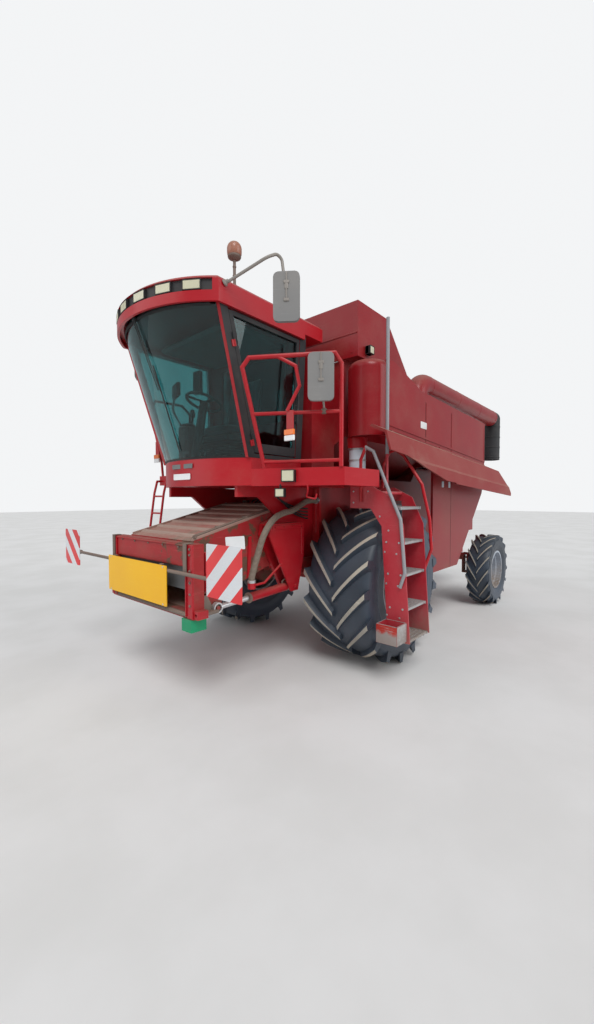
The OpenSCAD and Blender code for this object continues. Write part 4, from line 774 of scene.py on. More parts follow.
# Sizes of each axle's wheels: tyre, its lugs, the middle on the left side, then hub and bolts
WHEELS = {
    "front": SimpleNamespace(r=910, w=790, rim_r=406, deep=48, lugs=17, thick=75, x=0, y=1160,
                             face=1114, hub=140, bolts=10, circle=205, across=26, lip=368),
    "rear": SimpleNamespace(r=615, w=370, rim_r=312, deep=30, lugs=16, thick=50, x=-3500, y=1430,
                            face=1414, hub=90, bolts=8, circle=140, across=20, lip=280),
}
LUG_STATIONS = 9
LUG_SIDES = 8
LUG_TOP = 3


def lug_rows(wheel, way, turn, foot_of):
    """Cross sections of one tread lug, from the middle of the tyre to its shoulder."""
    rows = []
    for k in range(LUG_STATIONS):
        s = k / (LUG_STATIONS - 1)
        across = (0.012 + 0.486 * s) * wheel.w * way
        angle = -turn * s ** 0.92
        top = wheel.r * (1 - 0.016 * max(0.0, (s - 0.55) / 0.45) ** 2)
        foot = foot_of(abs(across)) - 6
        if s > 0.93:
            foot = min(foot, 0.862 * wheel.r)
        wide = wheel.thick * (0.88 + 0.24 * s)
        half = [(foot, 0.66), (foot + 0.45 * (top - foot), 0.50), (top - 0.12 * wheel.deep, 0.40), (top, 0.33)]
        section = [(q, -p * wide) for q, p in half] + [(q, p * wide) for q, p in reversed(half)]
        ca, sa = math.cos(angle), math.sin(angle)
        rows.append([(q * ca - p * sa, q * sa + p * ca, across) for q, p in section])
    return rows


def tyre_shape(wheel, side, looks):
    """A tractor tyre with curved lugs; the dusty lug tops have their own finish."""
    shape = Shape()
    w, bead, floor = wheel.w, wheel.rim_r + 1, wheel.r - wheel.deep
    wall = (wheel.rim_r + wheel.r) / 2
    half = [
        (bead, 0.400), (bead + 14, 0.404), (bead + 26, 0.412), (bead + 40, 0.438), (bead + 60, 0.462),
        (wall - 40, 0.486), (wall - 34, 0.492), (wall - 26, 0.489), (wall + 20, 0.499), (wall + 60, 0.499),
        (floor - 70, 0.489), (floor - 45, 0.470), (floor - 28, 0.430), (floor - 14, 0.360),
        (floor - 6, 0.240), (floor - 1, 0.110),
    ]
    outline = [(q, -p * w) for q, p in half] + [(floor, 0)] + [(q, p * w) for q, p in reversed(half)]

    def foot_of(across):
        for (q0, p0), (q1, p1) in zip(half, half[1:]):
            if q0 > floor - 80 and p1 * w <= across <= p0 * w:
                return q0 + (q1 - q0) * (across - p0 * w) / ((p1 - p0) * w)
        return floor - 50 if across > 0.4 * w else floor

    def place(x, z, h):
        return (wheel.x - z, side * (wheel.y + h), wheel.r - x)

    n = looks.tyre_sides
    shape.add([place(q * c, q * s, h) for c, s in around(n, 1) for q, h in outline],
              grid(n, len(outline), True))
    for way, shift in ((1, 0.0), (-1, 0.5)):
        rows = lug_rows(wheel, way, looks.tread_turn, foot_of)
        last = (LUG_STATIONS - 1) * LUG_SIDES
        faces = grid(LUG_STATIONS, LUG_SIDES) + [list(range(LUG_SIDES)), [last + j for j in range(LUG_SIDES)]]
        marks = [int(j == LUG_TOP) for _ in rows[1:] for j in range(LUG_SIDES)] + [0, 0]
        for ca, sa in around(wheel.lugs, 1, shift):
            shape.add([place(x * ca - y * sa, x * sa + y * ca, h) for row in rows for x, y, h in row],
                      faces, marks)
    return shape


class COMBINE_OT_tyres(bpy.types.Operator):
    """Builds the four lugged tyres"""

    bl_idname = "combine.tyres"
    bl_label = "Tyres"

    def execute(self, context):
        for name, wheel in WHEELS.items():
            for hand, side in HANDS:
                shape = tyre_shape(wheel, side, context.scene.combine_looks)
                shape.piece(f"{name}_tyre_{hand}", ["worn_rubber", "lug_dust"], "tyre_rubber",
                            f"{name}_wheel_{hand}", 38, [f"tyre_{name}_{hand}"])
        return {"FINISHED"}


class COMBINE_OT_wheel_trim(bpy.types.Operator):
    """Adds hub caps, wheel bolts and valves to the rims"""

    bl_idname = "combine.wheel_trim"
    bl_label = "Wheel Trim"

    def execute(self, context):
        for name, wheel in WHEELS.items():
            x, z, face, hub, circle, lip = wheel.x, wheel.r, wheel.face, wheel.hub, wheel.circle, wheel.lip
            cap = [(hub - 14, 36), (hub - 6, 44), (hub * 0.8, 52), (hub * 0.5, 60), (hub * 0.2, 64), (0.1, 65)]
            disc = [(circle + 34, -1), (circle + 34, 5), (circle - 34, 6), (circle - 34, -1)]
            rings = ((wheel.bolts, circle, 0, 5, wheel.across, 16), (6, hub * 0.55, 0.5, 56, 16, 10))
            for hand, side in HANDS:
                trim = Shape()
                out = (0, side, 0)
                trim.lathe(cap, (x, side * face, z), out, 40)
                trim.lathe(disc, (x, side * face, z), out, 48, True)
                for count, r, shift, lift, across, height in rings:
                    places = [(x + c, side * (face + lift), z + s) for c, s in around(count, r, shift)]
                    trim.bolts(places, out, across, height)
                for c, s in around(8, lip, 0.3):
                    spot = (x + c, side * (face + 2), z + s)
                    trim.lathe([(0.1, -2), (17, -2), (19, 3), (0.1, 4)], spot, out, 16)
                trim.tube([(x, side * (face + 20), z + lip - 6), (x, side * (face + 60), z + lip - 16)], 6, 8)
                trim.piece(f"{name}_wheel_trim_{hand}", ["rim_silver"], "rim_paint", f"{name}_wheel_{hand}")
        return {"FINISHED"}


def on_screen(y, z, out=0.0):
    """A place on the outside of the curved windscreen."""
    lean = math.cos(GLASS_LEAN)
    foot = POST_FOOT - math.sqrt(GLASS_R**2 - CAB_HALF**2) / lean
    head = POST_HEAD - math.sqrt(GLASS_R**2 - CAB_TOP_HALF**2) / lean
    middle = foot + (head - foot) * (z - CAB_FLOOR) / (CAB_TOP - CAB_FLOOR)
    angle = math.asin(max(-1, min(1, y / GLASS_R)))
    x = middle + (GLASS_R / lean + out) * math.cos(angle)
    return Vector((x, (GLASS_R + out) * math.sin(angle), z - 0.3 * out))


def on_roof(y, z, out):
    """A place on the round front edge of the roof."""
    return Vector((SCREEN_HEAD_CX + math.sqrt((ROOF_R + out) ** 2 - y * y), y, z))


def on_side(x, s, out, side=1):
    """A place on the cab's leaning side, s up its slope."""
    return Vector((x, side * (CAB_HALF + s * math.sin(CAB_LEAN) + out * math.cos(CAB_LEAN)),
                   CAB_FLOOR + s * math.cos(CAB_LEAN) - out * math.sin(CAB_LEAN)))


def band(shape, place, inner, outer, low, high):
    """A thin band between two rows of places on a surface, from one height over it to the other."""
    rows = [[place(*p, out) for p in row]
            for row, out in ((inner, low), (outer, low), (outer, high), (inner, high))]
    n = len(inner)
    verts = [p for four in zip(*rows) for p in four]
    shape.add(verts, grid(n, 4) + [[0, 1, 2, 3], [4 * n - 4 + i for i in range(4)]])


class COMBINE_OT_cab_trim(bpy.types.Operator):
    """Adds the black posts, seals, wiper, handles and blank labels of the cab"""

    bl_idname = "combine.cab_trim"
    bl_label = "Cab Trim"

    def execute(self, context):
        run = (POST_HEAD - POST_FOOT) / CAB_SIDE
        seals = Shape()
        rows = [(CAB_SIDE - 12) * k / 8 for k in range(9)]
        edge = [(CAB_HALF - 8 + (CAB_TOP_HALF - CAB_HALF) * s / 1343, CAB_FLOOR + s)
                for s in range(10, 1341, 95)]
        rear = CAB_REAR + 95
        for side in SIDES:
            def wall(x, s, out):
                return on_side(x, s, out, side)

            band(seals, wall, [(POST_FOOT - 50 + run * s, s) for s in rows],
                 [(POST_FOOT + 38 + run * s, s) for s in rows], -1, 2.5)
            band(seals, wall, [(CAB_REAR + 1, s) for s in rows], [(rear, s) for s in rows], -1, 2.5)
            for ends in ((0, 40), (CAB_SIDE - 56, CAB_SIDE - 8)):
                band(seals, wall, *([(rear, s), (POST_FOOT - 50 + run * s, s)] for s in ends), -1, 2.5)
            band(seals, on_screen, [(side * (y - 34), z) for y, z in edge],
                 [(side * y, z) for y, z in edge], -2, 3)
        ys = [-735 + 1470 * k / 40 for k in range(41)]
        for ends in ((CAB_FLOOR + 2, CAB_FLOOR + 22), (CAB_TOP - 62, CAB_TOP - 40)):
            band(seals, on_screen, *([(y, z) for y in ys] for z in ends), -2, 4)
        seals.piece("cab_seals", ["black_rubber"], "black_plastic", smooth=30)
        wiper = Shape()
        for y in (-14, 14):
            wiper.tube([on_screen(y - 60 + 60 * k / 6, CAB_TOP - 40 - 105 * k, 22) for k in range(7)], 5, 8)
        wiper.tube([on_screen(10, z, 12) for z in range(2370, 3171, 80)], 7, 8)
        wiper.lathe([(20, -14), (22, 0), (22, 24), (14, 32), (0.1, 33)], on_screen(-60, CAB_TOP - 45, 4), X, 20)
        wiper.piece("windscreen_wiper", ["dull_plastic"], "black_plastic")
        base_front = SCREEN_FOOT_CX + SCREEN_R
        labels = Shape()
        labels.plate((base_front + 0.5, -20, 2108), Y, Z, (300, 62), 3, 8)
        for side in SIDES:
            labels.plate((-560, side * (BODY_SIDE + 2), 2790), (-side, 0, 0), Z, (175, 82), 3, 8)
        labels.piece("blank_labels", ["white_plate"], "lamp_plastic")
        vents = Shape()
        for y in (-120, 90):
            vents.plate((base_front - 2, y, 2215), Y, Z, (150, 46), 5, 8)
        vents.piece("base_vents", ["cab_grey"], "black_plastic")
        handle = Shape()
        foot = (DOOR_HANDLE_X, 0, 26, (12, 0, 16), 5)
        for s, (x, low, high, half, chamfer) in (
            (420, foot), (700, foot), (560, (DOOR_HANDLE_X - 6, -12, 8, (30, 0, 40), 7)),
        ):
            handle.block(on_side(x, s, low) - Vector(half), on_side(x, s, high) + Vector(half), chamfer)
        handle.tube([on_side(DOOR_HANDLE_X, s, 30) for s in (400, 560, 720)], 11, 12)
        handle.piece("door_handle", ["dull_plastic"], "black_plastic", "cab_door")
        return {"FINISHED"}


class COMBINE_OT_cab_inside(bpy.types.Operator):
    """Adds the monitor, visor, floor mat, pedals and lining seen through the glass"""

    bl_idname = "combine.cab_inside"
    bl_label = "Cab Inside"

    def execute(self, context):
        floor = placed(0, 0, CAB_FLOOR)
        ceiling = CAB_TOP - CAB_FLOOR
        inside = Shape(floor)
        inside.block((1000, -640, 1), (1700, 640, 9), 3)
        for y in (-170, 120, 200):
            inside.tube([(1800, y, 4), (1770, y, 90)], 8, 8)
            inside.block((1735, y - 32, 88), (1775, y + 32, 112), 6)
        inside.block((1240, -700, 900), (1300, -560, 1180), 12)
        inside.block((1000, -600, ceiling - 90), (1800, 600, ceiling - 30), 25)
        inside.tube(rounded([(1640, -430, 430), (1700, -520, 620), (1640, -560, 800)], 60), 12)
        inside.piece("cab_lining", ["cab_grey"], "black_plastic")
        dark = Shape(floor)
        dark.tube(rounded([(1500, -430, 440), (1490, -430, 560)], 20), 14)
        dark.lathe([(0.1, -55), (24, -45), (30, 0), (22, 40), (0.1, 52)], (1488, -430, 600), (0.1, 0, 1), 20)
        dark.turn = floor @ placed(1625, -565, 860, -20)
        dark.block((-30, -120, -80), (20, 120, 80), 12)
        dark.piece("cab_controls", ["dull_plastic"], "black_plastic")
        return {"FINISHED"}


def lamp_unit(shape, size):
    """A lamp in its own frame: housing, rim and a ribbed lens that faces along X."""
    w, h, t = size[0] / 2, size[1] / 2, size[2]
    rim = 7
    shape.mark = 0
    shape.block((0, -w, -h), (t * 0.7, w, h), 6)
    for s in SIDES:
        shape.block((0, s * (w - rim), -h), (t, s * w, h), 2)
        shape.block((0, rim - w, s * (h - rim)), (t, w - rim, s * h), 2)
    shape.mark = 1
    shape.block((t * 0.7, rim - w, rim - h), (t - 2.5, w - rim, h - rim), 3)
    ribs = max(4, int(w / 8))
    for k in range(ribs):
        y = rim - w + 2 * (w - rim) * (k + 0.5) / ribs
        shape.block((t - 3, y - 2, rim - h + 3), (t - 1.2, y + 2, h - rim - 3), 0.8)
    shape.mark = 0


class COMBINE_OT_lamps(bpy.types.Operator):
    """Builds the roof lamps, beacon, deck lamps and rear lamps"""

    bl_idname = "combine.lamps"
    bl_label = "Lamps"

    def execute(self, context):
        slant = math.degrees(math.atan((POST_FOOT - 1310) / (1600 - CAB_HALF)))
        edge = placed(POST_FOOT, CAB_HALF, DECK - 165, slant)
        spots = [
            (placed(SCREEN_HEAD_CX, 0, CAB_TOP + 86, angle) @ placed(ROOF_R - 24.5, 0, 0), (166, 88, 26))
            for angle in (-34, -21, -8, 6, 20, 33)
        ]
        spots += [
            (edge @ placed(0.5, 395, 90), (130, 112, 60)),
            (placed(290, 1205, 3545, 90), (90, 90, 66)),
            (edge @ placed(-26, 300, -66), (96, 84, 54)),
        ]
        units = Shape()
        for units.turn, size in spots:
            lamp_unit(units, size)
        units.block((-2, -8, 38), (30, 8, 82), 3)
        visor = Shape()
        ys = [-800 + 40 * k for k in range(41)]
        band(visor, on_roof, *([(y, CAB_TOP + z) for y in ys] for z in (36, 139)), -26, -23)
        visor.piece("visor_band", ["dull_plastic"], "black_plastic")
        units.piece("work_lamps", ["dull_plastic", "lens_cream"], "lamp_plastic", replaces=["lamps"])
        beacon = Shape()
        beacon.mark = 1
        foot = CAB_TOP + 185
        beacon.lathe([(30, 0), (30, 8), (15, 14), (14, 60), (14, 4130 - foot)], (*BEACON, foot), Z, 24)
        for z in (3900, 3985, 4070):
            beacon.lathe(collar(14, 9, 17.5, 6), (*BEACON, z), Z, 20)
        beacon.lathe([(14, -46), (24, -40), (58, -22), (64, -10), (60, 0)], (*BEACON, 4172), Z, 28)
        beacon.mark = 0
        globe = [(69.5 * math.cos(a), 61 + 69.5 * math.sin(a)) for a in map(math.radians, range(0, 90, 9))]
        beacon.lathe([(61, 0), (67, 10), (69.5, 34), *globe, (0.1, 130)], (*BEACON, 4172), Z, 36)
        beacon.piece("beacon", ["beacon_amber", "rusty_steel"], "lamp_plastic", smooth=50)
        rear = Shape()
        for side in SIDES:
            rear.turn = placed(-4951, side * 560, 1570, 180)
            lamp_unit(rear, (158, 118, 42))
        rear.piece("rear_lamps", ["dull_plastic", "lens_red"], "lamp_plastic")
        markers = Shape()
        for x, y, z in ((1628, 1236, 2490), (1520, -1162, 2440)):
            markers.turn = placed(x, y, z)
            markers.mark = 0
            markers.block((-4, -42, 0), (4, 42, 172), 2)
            markers.block((-20, -14, 150), (2, 14, 176), 3)
            markers.mark = 1
            markers.block((-2, -58, -44), (22, 58, 6), 5)
            markers.mark = 2
            markers.block((-2, -58, -94), (20, 58, -46), 5)
        markers.piece("side_markers", ["hot_red_paint", "lens_orange", "white_plate"], "red_paint")
        return {"FINISHED"}


class COMBINE_OT_mirrors(bpy.types.Operator):
    """Builds the roof and rail mirrors on their arms"""

    bl_idname = "combine.mirrors"
    bl_label = "Mirrors"

    def execute(self, context):
        arms = Shape()
        arm = [(2030, 858, 3740), (1870, 1200, 3900), (1785, 1228, 3950), (1742, 1245, 3920),
               (1735, 1262, 3780)]
        foot = [(30, -3), (30, 10), (17, 16), (15, 40)]
        for side in SIDES:
            arms.tube(rounded([(x, side * y, z) for x, y, z in arm], 90, 6), 13, 14)
            arms.lathe(foot, (2040, side * 850, 3738), (-0.4, side, 0.42), 20)
            arms.bolts([(2036 + x, side * 858, 3738 + z) for x, z in around(3, 22, 0.25)], (0, side, 0), 8, 6)
        arms.tube([(1399, 1440, 2679), (1490, 1470, 2940)], 10, 12)
        arms.piece("mirror_arms", ["arm_grey"], "bare_steel", smooth=45)
        heads = Shape()
        for spot in ((1722, 1280, 3600, 36), (1722, -1280, 3600, -36), (1500, 1480, 2940, 36)):
            place = placed(*spot)
            heads.turn = place @ Matrix.Rotation(math.radians(-90), 4, "Y")
            heads.mark = 0
            heads.plate((0, 0, 22), X, (0, -1, 0), (418, 228), 12, 44)
            heads.plate((0, 0, 11), X, (0, -1, 0), (410, 220), 12, 40)
            heads.plate((0, 0, -14), (-1, 0, 0), (0, -1, 0), (418, 228), 26, 44)
            heads.turn = place
            heads.mark = 1
            heads.plate((-22.2, 0, 0), (0, -1, 0), Z, (200, 390), 1.6, 26)
            heads.mark = 2
            heads.block((12, -16, 60), (22, 16, 130), 4)
            heads.tube([(18, 0, 200), (18, 0, -40)], 7, 10)
            for z in (120, -30):
                heads.block((8, -24, z - 14), (24, 24, z + 14), 5)
        heads.piece("mirror_heads", ["mirror_shell", "mirror_face", "arm_grey"], "black_plastic",
                    replaces=["mirrors"])
        clamps = Shape()
        clamps.block((1380, 1418, 2640), (1420, 1462, 2688), 6)
        clamps.bolts([(1402, 1440, 2688)], Z, 16, 10)
        clamps.piece("mirror_clamps", ["rusty_steel"], "bare_steel")
        return {"FINISHED"}


def ladder_y(z):
    """Where the leaning ladder's steps begin at a height."""
    return on_line((450, 1660), (1620, 1580), z)


class COMBINE_OT_steps(bpy.types.Operator):
    """Builds the grated ladder steps, the deck plate and the bolts beside them"""

    bl_idname = "combine.steps"
    bl_label = "Steps and Deck"

    def execute(self, context):
        steps = Shape()
        for z in (470, 790, 1130, 1450, 1800):
            lo, hi = ladder_y(z) + 10, ladder_y(z) + 225
            for x in (150, 588):
                steps.block((x, lo, z - 30), (x + 12, hi, z - 1), 2)
            for k in range(5):
                y = lo + (hi - lo) * k / 5 + 4
                steps.block((158, y, z - 30), (592, y + 30, z - 8), 3)
                for x in range(172, 576, 31):
                    tooth = [(x, z - 9), (x + 8, z - 0.5), (x + 18, z - 0.5), (x + 26, z - 9)]
                    steps.prism(tooth, y + 3, y + 27)
        steps.piece("grated_steps", ["steel_silver"], "bare_steel", smooth=30, replaces=["ladder_steps"])
        bolts = Shape()
        places = [(ladder_y(z) + y, z + 2) for z in (460, 780, 1120, 1440) for y in (45, 185)]
        bolts.bolts([(612, y, z) for y, z in places], X, 18, 8)
        bolts.bolts([(138, y, z) for y, z in places], (-1, 0, 0), 18, 8)
        places = ((1240, 1960), (1240, 1840), (1420, 1960), (1560, 1700), (1660, 1560), (1620, 1340),
                  (1750, 1330), (1640, 1020), (1770, 1010), (1650, 700), (1790, 690))
        bolts.bolts([(612, y, z) for y, z in places], X, 16, 7)
        bolts.piece("ladder_bolts", ["steel_silver"], "bare_steel")
        deck = Shape(placed(0, 0, DECK + 1.2))
        for i in range(9):
            for j in range(13):
                x, y = 760 + 58 * i, 905 + 52 * j
                lean = 14 if (i + j) % 2 else -14
                deck.tube([(x - 14, y - lean, 0), (x + 14, y + lean, 0)], 3.2, 5)
        for i in range(8):
            for j in range(5):
                x, y = 190 + 58 * i, 1030 + 52 * j
                if math.dist((x, y), (400, 1150)) > 120:
                    deck.tube([(x - 14, y - 12, 0), (x + 14, y + 12, 0)], 3.2, 5)
        deck.piece("deck_tread", ["dusty_red_paint"], "dusty_paint", smooth=60)
        skin = Shape()
        skin.plate((811, 1752.5, 563), Y, Z, (221, 182), 3, 4)
        skin.mark = 1
        skin.plate((711, 1865, 563), (-1, 0, 0), Z, (196, 182), 3, 4)
        for x0, y0, x1, y1 in ((612, 1641, 812, 1649), (612, 1856, 812, 1864),
                               (612, 1641, 620, 1864), (804, 1641, 812, 1864)):
            skin.block((x0, y0, 654), (x1, y1, 658), 1)
        skin.piece("tool_box_skin", ["box_rust", "steel_silver"], "bare_steel")
        hook = Shape()
        line = [(1452, 1290, 2008), (1440, 1285, 1960), (1395, 1230, 1900), (1380, 1330, 1880),
                (1380, 1340, 1930)]
        hook.tube(rounded(line, 18), 8, 10)
        hook.piece("deck_hook", ["hot_red_paint"], "red_paint", smooth=60)
        return {"FINISHED"}


class COMBINE_OT_boards(bpy.types.Operator):
    """Builds the blank yellow board and the two striped boards on their rod"""

    bl_idname = "combine.boards"
    bl_label = "Marker Boards"

    def board(self, name, finish, turn, size, thick, corner):
        plate = Shape(turn)
        plate.plate((0, 0, 0), Y, Z, size, thick, corner)
        plate.piece(name, [finish], "board_paint", "feeder")

    def execute(self, context):
        rod = Shape()
        rod.tube([(2344, -1557, 1240), (2344, 1060, 1240)], 16.5, 16)
        for y in (-680, 640):
            rod.block((2250.5, y - 24, 1490.6), (2329.5, y + 24, 1499.8), 2)
            rod.block((2318.3, y - 24, 1216), (2329.7, y + 24, 1499.6), 2)
            rod.bolts([(2285, y, 1499.6)], Z, 14, 0.3)
        for y in (-600, 300):
            rod.block((2326, y - 20, 1218), (2358, y + 20, 1292), 4)
            rod.tube([(2362, y, 1240), (2362, y, 1268)], 5, 8)
        for y in (1040, -1530):
            rod.block((2324, y - 30, 1218), (2357, y + 30, 1262), 5)
        rod.piece("board_rod", ["rusty_steel"], "bare_steel", "feeder", replaces=["marker_boards"])
        self.board("yellow_sign", "yellow_board", placed(2359, -152.5, 1100), (1133, 368), 8, 10)
        rivets = Shape()
        for y in (-660, 355):
            for z in (930, 1268):
                rivets.lathe([(9, 0), (9, 2), (5, 3.5), (0.1, 4)], (2366.5, y, z), X, 14)
        rivets.piece("sign_rivets", ["steel_silver"], "bare_steel", "feeder")
        for hand, y, z in (("left", 1211.5, 1316.5), ("right", -1708.5, 1291.5)):
            self.board(f"striped_board_{hand}", f"{hand}_stripes", placed(2357.5, y, z), (422, 422), 8, 12)
        self.board("small_blank_plate", "white_plate", placed(2354, 1340, 1556, 6, "X"), (215, 96), 3, 8)
        return {"FINISHED"}


def feeder_z(x):
    """Height of the feeder house's sloping deck."""
    return on_line((820, 1830), (2191, 1500), x)


class COMBINE_OT_feeder_trim(bpy.types.Operator):
    """Adds ribs, channels, shoes, bolts and pipes to the feeder house"""

    bl_idname = "combine.feeder_trim"
    bl_label = "Feeder Trim"

    def execute(self, context):
        ribs = Shape()
        rise = 12 + feeder_z(0) - feeder_z(12)
        for x in range(930, 2041, 185):
            outline = [(x, -2), (x + 12, rise), (x + 48, rise), (x + 60, -2)]
            ribs.prism([(px, feeder_z(px) + h) for px, h in outline], -535, 535)
        channel = [(x, feeder_z(x) + h) for x, h in ((900, -2), (900, 20), (2180, 20), (2180, -2))]
        for y in (-552, 530):
            ribs.prism(channel, y, y + 22)
        ribs.piece("feeder_ribs", ["dusty_rib"], "dusty_paint", "feeder")
        posts, sides, shoes, bolts = Shape(), Shape(), Shape(), Shape()
        for side in SIDES:
            posts.block((2300, side * 640, 845), (2309, side * 730, 1488), 4)
            posts.block((2296, side * 634, 860), (2322, side * 634 + side * 12, 1480), 3)
            posts.block((2292, side * 722, 846), (2314, side * 731, 1486), 3)
            for x in (1150, 1480, 1810):
                top, low = 1640 - 0.24 * (x - 900), 1180 - 0.18 * (x - 900)
                rib = [(x, top), (x + 40, top - 8), (x + 60, low), (x + 20, low + 10)]
                sides.prism(rib, side * 558, side * 572)
            sides.block((2080, side * 560, 1040), (2110, side * 640, 1400), 6)
            sides.bolts([(2095, side * 640, z) for z in (1080, 1200, 1320)], (0, side, 0), 20, 9)
            shoes.block((2010, side * 590, 842), (2186, side * 712, 872), 6)
            shoes.prism([(2020, 850), (2100, 1010), (2180, 1010), (2186, 850)], side * 640, side * 652)
            bolts.bolts([(2309, side * 690, z) for z in (960, 1060, 1160, 1260, 1400, 1450)], X, 20, 9)
            bolts.lathe([(44, 0), (44, 16), (30, 24), (0.1, 26)], (2000, side * 640, 880), (0, side, 0), 24)
        bolts.bolts([(2306, y, 1460) for y in (-520, -260, 0, 260, 520)], X, 18, 8)
        panel = Shape()
        panel.block((2299, -628, 1296), (2306, 628, 1484), 4)
        panel.block((2296, -628, 1470), (2318, 628, 1486), 4)
        bar = Shape()
        bar.tube([(2296, -690, 870), (2296, 640, 870)], 20, 16)
        for k in range(44):
            bar.lathe(collar(19, 5, 23, 3), (2296, -670 + 29.5 * k, 870), Y, 14)
        pipes = Shape()
        for k, y in enumerate((470, 495, 520)):
            line = [(1000, y, 1808), (1400, y, 1712), (1800, y, 1616), (2120, y, 1539), (2170, y + 60, 1522)]
            pipes.tube(rounded([(px, py, pz + 2 * k) for px, py, pz in line], 50), 7, 10)
        for x in (1150, 1500, 1850):
            pipes.block((x - 14, 455, feeder_z(x)), (x + 14, 535, feeder_z(x) + 36), 5)
        for shape, name, finish, slot, smooth in (
            (posts, "feeder_posts", "hot_red_paint", "red_paint", 35),
            (panel, "throat_panel", "stained_red", "red_paint", 35),
            (bar, "knurled_bar", "rusty_steel", "bare_steel", 35),
            (sides, "feeder_side_ribs", "hot_red_paint", "red_paint", 35),
            (shoes, "feeder_shoes", "rusty_steel", "bare_steel", 35),
            (pipes, "feeder_pipes", "rusty_steel", "bare_steel", 50),
            (bolts, "feeder_bolts", "rusty_steel", "bare_steel", 35),
        ):
            shape.piece(name, [finish], slot, "feeder", smooth)
        return {"FINISHED"}


class COMBINE_OT_bulkhead_trim(bpy.types.Operator):
    """Adds valves, pipes, brackets and bolts between the cab and the feeder house"""

    bl_idname = "combine.bulkhead_trim"
    bl_label = "Bulkhead Trim"

    def execute(self, context):
        plates = Shape()
        for side in SIDES:
            out = (0, side, 0)
            plates.block((862, side * 739, 1560), (1350, side * 748, 1606), 4)
            plates.block((862, side * 739, 1270), (900, side * 748, 1560), 4)
            plates.bolts([(1000, side * 741, 930)], out, 44, 18)
            places = ((900, 1585), (1040, 1585), (1180, 1585), (1310, 1585), (880, 1320), (880, 1450))
            plates.bolts([(x, side * 748, z) for x, z in places], out, 18, 9)
        plates.piece("bracket_plates", ["hot_red_paint"], "red_paint")
        pipes = Shape()
        for k in range(5):
            x, y, z = 14 * k, 95 * k - 420, 1800 + 12 * k
            line = [(524, y, z), (600 + x, y, z), (640 + x, y + 120, 1860), (700, y + 260, 1880),
                    (526, y + 300, 1930)]
            pipes.tube(rounded(line, 45), 10, 10)
        for k in range(4):
            x, z = 40 * k, 1650 + 38 * k
            line = [(630, 612, z), (700 + x, 622, z + 10), (900 + x, 640, z + 60),
                    (1000 + 60 * k, 648, z + 130)]
            pipes.tube(rounded(line, 60), 9, 10)
        pipes.piece("hydraulic_pipes", ["black_rubber"], "hose_rubber", smooth=50)
        valves = Shape()
        for y in (-300, -190, -80, 30):
            valves.block((520, y, 1740), (590, y + 90, 1820), 6)
            valves.lathe([(20, 0), (20, 26), (12, 30), (12, 40)], (590, y + 45, 1780), X, 16)
        for y in (520, -560):
            valves.block((520, y - 50, 1700), (600, y + 50, 1860), 8)
        valves.piece("valve_blocks", ["rusty_steel"], "cast_engine")
        wall = Shape()
        for y in (-640, -220, 220, 620):
            wall.block((519, y, 1480), (530, y + 40, 2004), 4)
        for z in (1880, 1990):
            wall.block((519, -640, z), (528, 640, z + 12), 3)
        wall.piece("bulkhead_ribs", ["hot_red_paint"], "red_paint")
        lift = Shape()
        tilt = math.degrees(math.atan((930 - 880) / 1000))
        for side in SIDES:
            lift.turn = placed(1000, side * 665, 930, tilt, "Y")
            lift.lathe([(45, 600), (52, 602), (52, 622), (36, 626), (26, 626)], (0, 0, 0), X, 28)
            lift.lathe([(45, 30), (50, 34), (50, 64), (45, 68)], (0, 0, 0), X, 28)
            lift.tube([(120, 0, 44), (120, 0, 66), (90, side * 10, 86)], 9, 10)
        lift.piece("cylinder_collars", ["rusty_steel"], "bare_steel", "lift_barrel_pair")
        return {"FINISHED"}


def panel_low(x):
    """Height of the side panels' sloping lower edge."""
    return on_line((360, 2630), (-3000, 2450), x)


